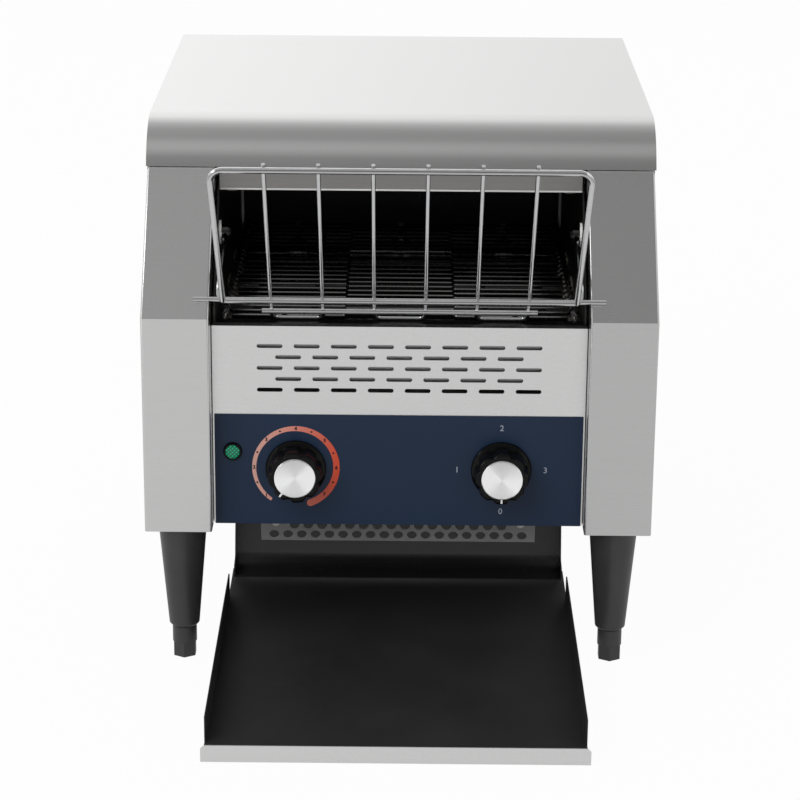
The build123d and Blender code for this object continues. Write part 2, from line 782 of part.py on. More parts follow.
# ---------------------------------------------------------------- wire belt
def loop_points(first, second, radius, pitch, teeth, run_links):
    """Pitch points of a belt or chain round two equal wheels, starting over the first wheel."""
    heading = math.atan2(second[1] - first[1], second[0] - first[0])
    step = 2 * math.pi / teeth
    points = []
    for wheel, turn in ((first, 0.0), (second, math.pi)):
        along = heading + turn
        start = along + math.pi / 2
        for link in range(run_links):
            points.append((wheel[0] + radius * math.cos(start) + link * pitch * math.cos(along),
                           wheel[1] + radius * math.sin(start) + link * pitch * math.sin(along)))
        far = second if wheel is first else first
        for tooth in range(teeth // 2):
            angle = start - tooth * step
            points.append((far[0] + radius * math.cos(angle), far[1] + radius * math.sin(angle)))
    return points


def link_planes(points, x):
    """A plane for each link, at its first pitch point, whose Y runs to the next point."""
    planes = []
    for here, there in zip(points, points[1:] + points[:1]):
        heading = math.atan2(there[1] - here[1], there[0] - here[0])
        planes.append(Plane(origin=(x, here[0], here[1]), x_dir=(1, 0, 0),
                            z_dir=(0, -math.sin(heading), math.cos(heading))))
    return planes


with BuildPart() as belt_strand:
    half_pitch = belt_pitch / 2
    slant = belt_wire
    edge_x = belt_half_width - belt_wire / 2
    leg_end = half_pitch + belt_pitch - belt_wire / 2 - belt_wire_gap
    half_strand = [(edge_x, leg_end), (edge_x, half_pitch), (edge_x - belt_edge, half_pitch),
                   (edge_x - belt_edge - slant, 0), (belt_lane + slant / 2, 0),
                   (belt_lane - slant / 2, half_pitch)]
    with BuildLine() as strand_line:
        Polyline(*half_strand, *[(-x, y) for x, y in reversed(half_strand)])
    with BuildSketch(Plane(origin=strand_line.line @ 0, z_dir=strand_line.line % 0)):
        RegularPolygon(belt_wire / 2, 4)
    sweep(transition=Transition.RIGHT)

belt_points = loop_points(shaft_places[0], shaft_places[1], belt_radius, belt_pitch,
                          belt_teeth, belt_run_links)
with BuildPart() as conveyor_belt:
    add([belt_strand.part.moved(plane.location) for plane in link_planes(belt_points, 0)])
write(conveyor_belt, "conveyor_belt")


def toothed_outline(place, root, tip, teeth, start):
    """Outline of a toothed disc; root and tip are the radius and half width of each gap."""
    points = []
    for tooth in range(teeth):
        angle = math.radians(start + 360 * tooth / teeth)
        outer = math.sqrt(tip[0] ** 2 - tip[1] ** 2)
        for along, aside in ((outer, -tip[1]), (root[0], -root[1]), (root[0], root[1]), (outer, tip[1])):
            points.append((place[0] + along * math.cos(angle) - aside * math.sin(angle),
                           place[1] + along * math.sin(angle) + aside * math.cos(angle)))
    with BuildLine() as outline:
        Polyline(*points, close=True)
    return outline.edges()


def make_belt_sprockets(place, label):
    """Three toothed discs with hubs, one under each lane of the belt."""
    quarter_turn, half_tooth = 90.0, 180.0 / belt_teeth
    mid_radius = belt_radius * math.cos(math.pi / belt_teeth)
    half_slot = belt_wire / 2 + tooth_fit
    tip = (belt_radius + belt_tooth, half_slot)
    with BuildPart() as sprockets:
        for offset, wire_radius, start in ((-belt_sprocket_offset, belt_radius, quarter_turn),
                                           (0, mid_radius, quarter_turn + half_tooth),
                                           (belt_sprocket_offset, belt_radius, quarter_turn)):
            root = (wire_radius - half_slot, half_slot)
            with BuildSketch(across(offset - belt_sprocket_width / 2)):
                make_face(toothed_outline(place, root, tip, belt_teeth, start))
            extrude(amount=belt_sprocket_width)
            with BuildSketch(across(offset - belt_hub_width / 2)):
                with Locations(place):
                    RegularPolygon(belt_hub_diameter / 2, 8)
            extrude(amount=belt_hub_width)
            with BuildSketch(across(offset - belt_hub_width)):
                with Locations(place):
                    Circle(shaft_diameter / 2 + hub_fit)
            extrude(amount=2 * belt_hub_width, mode=Mode.SUBTRACT)
    write(sprockets, label)


def make_shaft(place, right_end, label):
    """Plain steel shaft through both chamber walls."""
    left_end = -(wall_outer + shaft_end_gap)
    with BuildPart() as shaft:
        with BuildSketch(across(left_end)):
            with Locations(place):
                Circle(shaft_diameter / 2)
        extrude(amount=right_end - left_end)
    write(shaft, label)


make_belt_sprockets(shaft_places[0], "front_belt_sprockets")
make_belt_sprockets(shaft_places[1], "rear_belt_sprockets")
make_shaft(shaft_places[0], chain_line + chain_hub_width + chain_shaft_tail, "front_shaft")
make_shaft(shaft_places[1], wall_outer + shaft_end_gap, "rear_shaft")

with BuildPart() as shaft_bearings:
    for side in (-1, 1):
        with BuildSketch(across(side * chamber_half)):
            with Locations(*shaft_places):
                Circle(bearing_diameter / 2)
        extrude(amount=side * chamber_sheet)
        with BuildSketch(across(side * wall_outer)):
            with Locations(*shaft_places):
                RegularPolygon(bearing_flange_diameter / 2, 6)
        extrude(amount=side * bearing_flange)
        with BuildSketch(across(side * chamber_half)):
            with Locations(*shaft_places):
                Circle(shaft_diameter / 2 + shaft_fit)
        extrude(amount=side * (chamber_sheet + bearing_flange), mode=Mode.SUBTRACT)
write(shaft_bearings, "shaft_bearings")

with BuildPart() as belt_rails:
    rail_z = belt_height - belt_wire / 2 - rail_gap - rail_diameter / 2
    rail_y = front_shaft_y + rail_inset
    rail_length = rear_shaft_y - front_shaft_y - 2 * rail_inset
    rail_edge_x = belt_half_width - rail_edge_inset
    with BuildSketch(facing(rail_y)):
        with Locations(*[(x, rail_z) for x in (-rail_edge_x, -rail_offset, rail_offset, rail_edge_x)]):
            RegularPolygon(rail_diameter / 2, 6)
    extrude(amount=-rail_length)
    bar_z = rail_z - (rail_diameter + cross_bar_diameter) / 2 + 2 * weld
    with BuildSketch(across(-chamber_half)):
        with Locations((front_shaft_y + cross_bar_inset, bar_z), (rear_shaft_y - cross_bar_inset, bar_z)):
            RegularPolygon(cross_bar_diameter / 2, 6)
    extrude(amount=2 * chamber_half)
write(belt_rails, "belt_rails")

# ================================================================ slide, guard and tray
slide_line = [(slide_rear, reflector_height - 2 * sheet), (slide_rear, slide_knee_height),
              (front + slide_brow[0], slide_brow[1]), (front + slide_foot[0], slide_foot[1]),
              (front + slide_end[0], slide_end[1])]
slide_radii = [slide_knee_radius, slide_brow_radius, slide_foot_radius]

with BuildPart() as toast_slide:
    with BuildSketch(across(-slide_half)):
        make_face(bent_sheet(slide_line, slide_sheet, Side.RIGHT, slide_radii))
    extrude(amount=2 * slide_half)
    for side in (-1, 1):
        with BuildSketch(across(side * slide_half)):
            make_face(bent_sheet(slide_line, slide_wall, Side.RIGHT, slide_radii))
        extrude(amount=-side * slide_sheet)
write(toast_slide, "toast_slide")

with BuildPart() as slide_spacers:
    slope = (slide_knee_height - slide_brow[1]) / (slide_rear - front - slide_brow[0])
    spacer_y = (front + slide_brow[0] + slide_rear) / 2
    spacer_z = (slide_brow[1] + slide_knee_height) / 2
    low_place = (spacer_y - slide_wall / 2 * math.sin(math.atan(slope)),
                 spacer_z + slide_wall / 2 * math.cos(math.atan(slope)))
    high_place = (slide_rear - slide_wall / 2, reflector_height - 3 * slide_wall)
    for side in (-1, 1):
        with BuildSketch(across(side * slide_half)):
            with Locations(low_place, high_place):
                RegularPolygon(slide_spacer_diameter / 2, 6)
        extrude(amount=side * (chamber_half - slide_half))
write(slide_spacers, "slide_spacers")

lean_sin, lean_cos = math.sin(math.radians(guard_lean)), math.cos(math.radians(guard_lean))
guard_y = front + guard_setback
guard_foot = (guard_y + guard_length * lean_sin, pan_bottom - guard_length * lean_cos)
guard_plane = Plane(origin=(0, guard_foot[0], guard_foot[1]), x_dir=(1, 0, 0),
                    z_dir=(0, -lean_cos, -lean_sin))
guard_pitch = 2 * (guard_half - guard_side_margin) / (guard_long_row - 1)
guard_screw_up = guard_row_margin + guard_row_pitch + guard_screw_rise
guard_screw_places = [(side * (guard_half - guard_screw_inset), guard_screw_up) for side in (-1, 1)]

with BuildPart() as outlet_guard:
    with BuildSketch(across(-guard_half)):
        make_face(bent_sheet([(guard_y + guard_flange, pan_bottom), (guard_y, pan_bottom),
                              guard_foot], guard_sheet, Side.LEFT))
    extrude(amount=2 * guard_half)
    with BuildSketch(guard_plane):
        with Locations((0, guard_row_margin)):
            with GridLocations(guard_pitch, 1, guard_long_row, 1):
                Circle(guard_hole / 2)
        with Locations((0, guard_row_margin + guard_row_pitch)):
            with GridLocations(guard_pitch, 1, guard_short_row, 1):
                Circle(guard_hole / 2)
    extrude(amount=-2 * guard_sheet, both=True, mode=Mode.SUBTRACT)
write(outlet_guard, "outlet_guard")

with BuildPart() as guard_screws:
    with BuildSketch(guard_plane):
        with Locations(*guard_screw_places):
            Circle(guard_screw_diameter / 2)
    extrude(amount=screw_head_height / 2)
write(guard_screws, "guard_screws")

tray_front = front - tray_reach
tray_rear = tray_front + tray_length
with BuildPart() as tray_pan:
    with BuildSketch(facing(tray_front + sheet)):
        with BuildLine():
            Polyline((-tray_half, tray_wall_height), (-tray_half, tray_floor_height - tray_sheet),
                     (tray_half, tray_floor_height - tray_sheet), (tray_half, tray_wall_height))
            offset(amount=tray_sheet, side=Side.LEFT)
        make_face()
    extrude(amount=-(tray_length - sheet))
    with BuildSketch(Plane.XY.offset(tray_floor_height)):
        with Locations((0, tray_front + tray_wall_setback / 2)):
            Rectangle(3 * tray_half, tray_wall_setback)
        with Locations((0, tray_rear - tray_wall_tail / 2)):
            Rectangle(3 * tray_half, tray_wall_tail)
    extrude(amount=tray_wall_height, mode=Mode.SUBTRACT)
    with BuildSketch(facing(tray_rear)):
        with Locations((0, (tray_floor_height - tray_sheet) / 2)):
            Rectangle(2 * tray_half, tray_floor_height - tray_sheet)
    extrude(amount=tray_sheet)
write(tray_pan, "tray_pan")

with BuildPart() as tray_lip:
    with BuildSketch(facing(tray_front)) as lip_face:
        with Locations((0, lip_height / 2)):
            Rectangle(2 * lip_half, lip_height)
        chamfer(lip_face.vertices().group_by(Axis.Y)[-1], lip_corner)
    extrude(amount=-sheet)
write(tray_lip, "tray_lip")

# ================================================================ legs
def make_leg(place, label):
    """Tapered leg with a bore for the foot and a stud that bolts it to the base pan."""
    low, top, stud = leg_low_diameter / 2, leg_top_diameter / 2, leg_bolt_diameter / 2
    bore = foot_stud_diameter / 2 + foot_fit
    bore_top = foot_collar_top + foot_stud_length + foot_gap
    with BuildPart() as leg:
        with BuildSketch(Plane(origin=(*place, 0), x_dir=(1, 0, 0), z_dir=(0, -1, 0))):
            with BuildLine():
                Polyline((bore, foot_collar_top), (low - leg_chamfer, foot_collar_top), (low, leg_low_height),
                         (top, body_bottom), (stud, body_bottom),
                         (stud, body_bottom + leg_bolt_length), (0, body_bottom + leg_bolt_length),
                         (0, bore_top), (bore, bore_top), close=True)
            make_face()
        revolve(axis=Axis((*place, 0), (0, 0, 1)))
    write(leg, label)


def make_foot(place, label):
    """Levelling foot: hexagon on the bench, collar, and a stud up into the leg."""
    collar_top = foot_collar_top - foot_gap
    with BuildPart() as foot:
        with BuildSketch():
            with Locations(place):
                RegularPolygon(foot_hex / 2, 6, major_radius=False, rotation=30)
        extrude(amount=foot_hex_height)
        with BuildSketch(Plane.XY.offset(foot_hex_height)):
            with Locations(place):
                Circle(foot_collar_diameter / 2)
        extrude(amount=collar_top - foot_hex_height)
        with BuildSketch(Plane.XY.offset(collar_top)):
            with Locations(place):
                Circle(foot_stud_diameter / 2)
        extrude(amount=foot_stud_length)
    write(foot, label)


for corner, place in leg_places.items():
    make_leg(place, f"leg_{corner}")
    make_foot(place, f"foot_{corner}")

# ================================================================ drive
motor_place = (motor_y, motor_z)

with BuildPart() as control_box_cover:
    with BuildSketch(across(-chamber_half)):
        make_face(bent_sheet([(panel_back, box_roof_height), (box_rear, box_roof_height),
                              (box_rear, pan_top)], box_sheet, Side.RIGHT))
    extrude(amount=2 * chamber_half)
write(control_box_cover, "control_box_cover")

with BuildPart() as gearbox:
    with BuildSketch(across(chamber_half - gearbox_depth)):
        with Locations(motor_place):
            RectangleRounded(gearbox_size, gearbox_size, gearbox_corner)
    extrude(amount=gearbox_depth)
    with BuildSketch(across(chamber_half)):
        with Locations(motor_place):
            Circle(motor_shaft_diameter / 2 + shaft_fit)
    extrude(amount=-gearbox_bore, mode=Mode.SUBTRACT)
write(gearbox, "gearbox")

with BuildPart() as drive_motor:
    with BuildSketch(across(chamber_half - gearbox_depth)):
        with Locations(motor_place):
            Circle(motor_diameter / 2)
    extrude(amount=-motor_length)
    with BuildSketch(across(chamber_half - gearbox_depth - motor_length)):
        with Locations(motor_place):
            Circle(motor_shaft_diameter)
    extrude(amount=-motor_shaft_diameter / 2)
write(drive_motor, "drive_motor")

sprocket_end = chain_line + chain_sprocket_width / 2 + chain_hub_width

with BuildPart() as motor_output_shaft:
    shaft_start = chamber_half - gearbox_bore + weld
    with BuildSketch(across(shaft_start)):
        with Locations(motor_place):
            Circle(motor_shaft_diameter / 2)
    extrude(amount=sprocket_end - shaft_start)
write(motor_output_shaft, "motor_output_shaft")


def make_chain_sprocket(place, bore, label):
    """Toothed disc on the chain's line, with a hub on its outer side."""
    gap = chain_roller_diameter / 2 + tooth_fit
    root = (chain_radius - gap, chain_root_half)
    tip = (chain_radius + chain_tooth, chain_tip_half)
    with BuildPart() as sprocket:
        with BuildSketch(across(chain_line - chain_sprocket_width / 2)):
            make_face(toothed_outline(place, root, tip, chain_teeth, chain_angle + 90))
        extrude(amount=chain_sprocket_width)
        with BuildSketch(across(chain_line)):
            with Locations(place):
                Circle(chain_hub_diameter / 2)
        extrude(amount=sprocket_end - chain_line)
        with BuildSketch(across(sprocket_end)):
            with Locations(place):
                Circle(bore / 2 + hub_fit)
        extrude(amount=-(sprocket_end - chain_line + chain_sprocket_width), mode=Mode.SUBTRACT)
    write(sprocket, label)


make_chain_sprocket(shaft_places[0], shaft_diameter, "shaft_chain_sprocket")
make_chain_sprocket(motor_place, motor_shaft_diameter, "motor_chain_sprocket")


def make_link(inner_face, bar_diameter):
    """One chain link: two plates joined by a bar at each pitch point."""
    half = chain_plate_height / 2
    with BuildPart() as link:
        for side in (-1, 1):
            with BuildSketch(across(side * inner_face)):
                with BuildLine():
                    Polyline((-half, 0), (0, half), (chain_pitch, half), (chain_pitch + half, 0),
                             (chain_pitch, -half), (0, -half), close=True)
                make_face()
            extrude(amount=side * chain_plate)
        with BuildSketch(across(-inner_face)):
            with Locations((0, 0), (chain_pitch, 0)):
                RegularPolygon(bar_diameter / 2, 6)
        extrude(amount=2 * inner_face)
    return link.part


with BuildPart() as roller_link:
    add(make_link(chain_inner_width / 2, chain_roller_diameter))
    with BuildSketch(across(-chain_inner_width)):
        with Locations((0, 0), (chain_pitch, 0)):
            RegularPolygon(chain_pin_diameter / 2 + chain_play, 6)
    extrude(amount=2 * chain_inner_width, mode=Mode.SUBTRACT)

pin_link = make_link(chain_inner_width / 2 + chain_plate + chain_play, chain_pin_diameter)
chain_points = loop_points(shaft_places[0], motor_place, chain_radius, chain_pitch,
                           chain_teeth, chain_run_links)
chain_planes = link_planes(chain_points, chain_line)
with BuildPart() as drive_chain:
    add([roller_link.part.moved(plane.location) for plane in chain_planes[::2]])
    add([pin_link.moved(plane.location) for plane in chain_planes[1::2]])
write(drive_chain, "drive_chain")

fan_place = (front + fan_setback, fan_height)
fan_inner = -chamber_half + fan_depth

with BuildPart() as fan_frame:
    with BuildSketch(across(-chamber_half)):
        with Locations(fan_place):
            Rectangle(fan_size, fan_size)
            Circle(fan_bore / 2, mode=Mode.SUBTRACT)
    extrude(amount=fan_depth)
    with BuildSketch(across(fan_inner)):
        with Locations(fan_place):
            Rectangle(fan_size, fan_strut)
            Rectangle(fan_strut, fan_size)
            Circle(fan_hub_diameter / 2)
    extrude(amount=-fan_strut)
    with BuildSketch(across(fan_inner)):
        with Locations(fan_place):
            Circle(fan_pin_diameter / 2 + shaft_fit)
    extrude(amount=-fan_strut, mode=Mode.SUBTRACT)
write(fan_frame, "fan_frame")

with BuildPart(across(fan_inner - fan_strut - fan_tip_gap)) as fan_rotor:
    rotor_depth = fan_depth - fan_strut - 2 * fan_tip_gap
    blade_radius = fan_bore / 2 - fan_tip_gap
    blade_root = fan_hub_diameter / 2 - fan_tip_gap
    with Locations(fan_place):
        Cylinder(fan_hub_diameter / 2, rotor_depth, align=(Align.CENTER, Align.CENTER, Align.MAX))
        Cylinder(fan_pin_diameter / 2, fan_strut, align=(Align.CENTER, Align.CENTER, Align.MIN))
        with Locations((0, 0, -rotor_depth / 2)):
            with PolarLocations((blade_radius + blade_root) / 2, fan_blades):
                Box(blade_radius - blade_root, fan_blade_thickness, rotor_depth,
                    rotation=(fan_blade_angle, 0, 0))
write(fan_rotor, "fan_rotor")

with BuildPart() as terminal_block:
    block_width, block_length, block_height = terminal_size
    slot_pitch = block_length / terminal_slots
    with BuildSketch(across(gland_place[0] - block_width / 2)):
        with Locations((rear - terminal_setback, pan_top + block_height / 2)):
            Rectangle(block_length, block_height)
        with Locations((rear - terminal_setback, pan_top + block_height)):
            with GridLocations(slot_pitch, 1, terminal_slots, 1):
                Rectangle(slot_pitch / 2, block_height / 2, mode=Mode.SUBTRACT)
    extrude(amount=block_width)
write(terminal_block, "terminal_block")

# ================================================================ intake rack
def spot(x, place):
    """Point at x whose depth is counted from the face of the columns."""
    return (x, front + place[0], place[1])


def shifted(place, direction, distance):
    """Place moved by a distance along a direction."""
    return (place[0] + direction[0] * distance, place[1] + direction[1] * distance)


def make_wire(points, diameter, radius):
    """Round wire through the points, with its bends rounded."""
    with BuildPart() as wire:
        with BuildLine() as line:
            FilletPolyline(*points, radius=radius)
        with BuildSketch(Plane(origin=line.line @ 0, z_dir=line.line % 0)):
            Circle(diameter / 2)
        sweep()
    return wire.part


def make_rod(place, half_length):
    """Straight rod from side to side."""
    with BuildPart() as rod:
        with BuildSketch(across(-half_length)):
            with Locations((front + place[0], place[1])):
                Circle(rack_rod / 2)
        extrude(amount=2 * half_length)
    return rod.part


rack_arm_half = chamber_half - rack_arm_inset
rack_low_half = rack_arm_half - rack_low_inset
rack_top_half = chamber_half - rack_top_inset
rack_tie_half = chamber_half - rack_tie_inset
rack_wire_half = rack_tie_half - rack_tie_tail
rack_wire_pitch = 2 * rack_wire_half / (rack_wires - 1)
tip_spread = 1 + rack_splay / rack_wire_half
rack_top = (rack_top_depth, body_top - rack_top_drop)
rod_height = slope_height(rack_low_depth, 0) + (rack_rod / 2 + rack_rest_gap) / lean_y
rod_place = (rack_low_depth, rod_height)
bar_place = (rack_low_depth - rack_rod + weld, rod_height)
ring_length = math.hypot(bar_place[0] - rack_top[0], rack_top[1] - rod_height)
ring_down = ((bar_place[0] - rack_top[0]) / ring_length, (rod_height - rack_top[1]) / ring_length)
ring_back = (-ring_down[1], ring_down[0])
wire_top = shifted(rack_top, ring_back, (rack_frame_wire + rack_wire) / 2 - weld)
wire_tip = shifted(wire_top, ring_down, -rack_tip)
wire_low = shifted(rod_place, ring_back, (rack_rod + rack_wire) / 2 - weld)
toe_length = math.hypot(rack_toe[0] - wire_low[0], rack_toe[1] - wire_low[1])
toe_along = ((rack_toe[0] - wire_low[0]) / toe_length, (rack_toe[1] - wire_low[1]) / toe_length)
tie_place = shifted(shifted(wire_low, toe_along, rack_tie_share * toe_length),
                    (toe_along[1], -toe_along[0]), (rack_rod + rack_wire) / 2 - weld)

with BuildPart() as intake_rack:
    add(make_wire([spot(-rack_low_half, bar_place), spot(-rack_top_half, rack_top),
                   spot(rack_top_half, rack_top), spot(rack_low_half, bar_place)],
                  rack_frame_wire, rack_corner))
    add(make_wire([spot(-rack_arm_half, rack_pivot), spot(-rack_arm_half, rack_arm_top),
                   spot(-rack_arm_half, bar_place), spot(rack_arm_half, bar_place),
                   spot(rack_arm_half, rack_arm_top), spot(rack_arm_half, rack_pivot)],
                  rack_rod, rack_arm_radius))
    add(make_rod(rod_place, column_inner + rack_rod_overhang))
    add(make_rod(tie_place, rack_tie_half))
    for pair in range(0, rack_wires, 2):
        left = (pair - (rack_wires - 1) / 2) * rack_wire_pitch
        right = left + rack_wire_pitch
        add(make_wire([spot(left * tip_spread, wire_tip), spot(left, wire_low), spot(left, rack_toe),
                       spot(right, rack_toe), spot(right, wire_low), spot(right * tip_spread, wire_tip)],
                      rack_wire, rack_toe_radius))
    for side in (-1, 1):
        with BuildSketch(across(side * (rack_arm_half - rack_eye_width / 2))):
            with Locations(pivot_place):
                Circle(rack_eye_diameter / 2)
        extrude(amount=side * rack_eye_width)
        with BuildSketch(across(side * (rack_arm_half - rack_eye_width))):
            with Locations(pivot_place):
                Circle(rack_pin_diameter / 2 + rack_pin_fit)
        extrude(amount=side * 2 * rack_eye_width, mode=Mode.SUBTRACT)
write(intake_rack, "intake_rack")

with BuildPart() as rack_pins:
    eye_outer = rack_arm_half + rack_eye_width / 2 + rack_pin_play
    eye_inner = rack_arm_half - rack_eye_width / 2 - rack_pin_play
    pin_outer = wall_outer + rack_pin_head_height
    pin_inner = eye_inner - rack_pin_head_height
    for side in (-1, 1):
        for start, end, diameter in ((pin_inner, pin_outer, rack_pin_diameter),
                                     (pin_inner, eye_inner, rack_pin_head),
                                     (eye_outer, chamber_half, rack_pin_collar),
                                     (wall_outer, pin_outer, rack_pin_head)):
            with BuildSketch(across(side * start)):
                with Locations(pivot_place):
                    Circle(diameter / 2)
            extrude(amount=side * (end - start))
write(rack_pins, "rack_pins")
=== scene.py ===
"""Looks of a bench-top conveyor toaster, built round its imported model.

Metres. +X is to the operator's right, +Y to the back, +Z up, and the origin is on the bench
under the middle of the whole machine.
"""
import json
import logging
import math
from contextlib import contextmanager
from dataclasses import dataclass, field
from enum import Enum
from typing import Callable, Iterator, Sequence

import bmesh
import bpy
from mathutils import Matrix, Vector

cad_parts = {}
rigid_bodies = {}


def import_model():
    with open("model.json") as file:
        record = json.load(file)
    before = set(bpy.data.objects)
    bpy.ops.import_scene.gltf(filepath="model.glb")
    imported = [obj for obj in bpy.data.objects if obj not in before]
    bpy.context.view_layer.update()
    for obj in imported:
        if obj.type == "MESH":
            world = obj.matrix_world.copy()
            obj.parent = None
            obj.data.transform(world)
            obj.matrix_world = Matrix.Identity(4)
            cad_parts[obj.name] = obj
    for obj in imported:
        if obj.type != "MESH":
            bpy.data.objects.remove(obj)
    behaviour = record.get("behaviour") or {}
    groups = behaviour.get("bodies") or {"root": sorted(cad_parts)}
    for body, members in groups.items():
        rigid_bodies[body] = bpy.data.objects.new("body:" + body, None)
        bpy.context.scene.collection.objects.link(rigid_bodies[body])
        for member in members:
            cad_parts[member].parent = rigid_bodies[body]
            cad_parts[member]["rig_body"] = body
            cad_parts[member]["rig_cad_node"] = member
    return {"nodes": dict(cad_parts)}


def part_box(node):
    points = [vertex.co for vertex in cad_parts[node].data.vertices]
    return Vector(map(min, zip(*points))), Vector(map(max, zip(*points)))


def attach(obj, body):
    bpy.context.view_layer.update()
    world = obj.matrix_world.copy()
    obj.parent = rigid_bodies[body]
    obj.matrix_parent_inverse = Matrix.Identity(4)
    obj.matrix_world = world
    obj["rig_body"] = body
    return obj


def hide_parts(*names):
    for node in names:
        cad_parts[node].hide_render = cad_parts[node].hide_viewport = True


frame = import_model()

MM = 0.001
LOG = logging.getLogger("conveyor_toaster")
CORNERS = ("front_left", "front_right", "rear_left", "rear_right")
NOISE_BAND = (0.3, 0.7)  # most of a noise's values lie between these
SPOT_BAND = (0.35, 0.65)  # narrower, for harder spots
WEAR_BAND = (0.4, 0.75)  # higher, for rubbed spots

Colour = tuple[float, float, float]
Point = tuple[float, float, float]
Profile = Sequence[tuple[float, float]]
Piece = bpy.types.Object
Socket = bpy.types.NodeSocket


def shade(colour: Colour, factor: float) -> Colour:
    """Colour made lighter or darker by a factor, up to white."""
    return tuple(min(1.0, part * factor) for part in colour)


def in_mm(profile: Profile) -> list[tuple[float, float]]:
    """Profile in metres, from one whose numbers are millimetres."""
    return [(radius * MM, height * MM) for radius, height in profile]


def middle(node: str) -> Point:
    """Middle of a node's box."""
    return tuple((low + high) / 2 for low, high in zip(*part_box(node)))


def seat(node: str) -> Point:
    """Middle of the back of a node's box."""
    across, _, rise = middle(node)
    return across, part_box(node)[1].y, rise


# ---------------------------------------------------------------- shader nodes
class Grain(Enum):
    """Direction in which a sheet is brushed, as the stretch of its texture along X, Y and Z."""

    ACROSS = (1.0, 60.0, 60.0)
    UPRIGHT = (60.0, 60.0, 1.0)
    ENDWISE = (60.0, 1.0, 60.0)


class Sooting(Enum):
    """How the painted shade of the unlit chamber deepens on a wire: along the machine's depth, or
    by the distance from its middle.
    """

    DEPTH = "Y"
    WIDTH = "X"


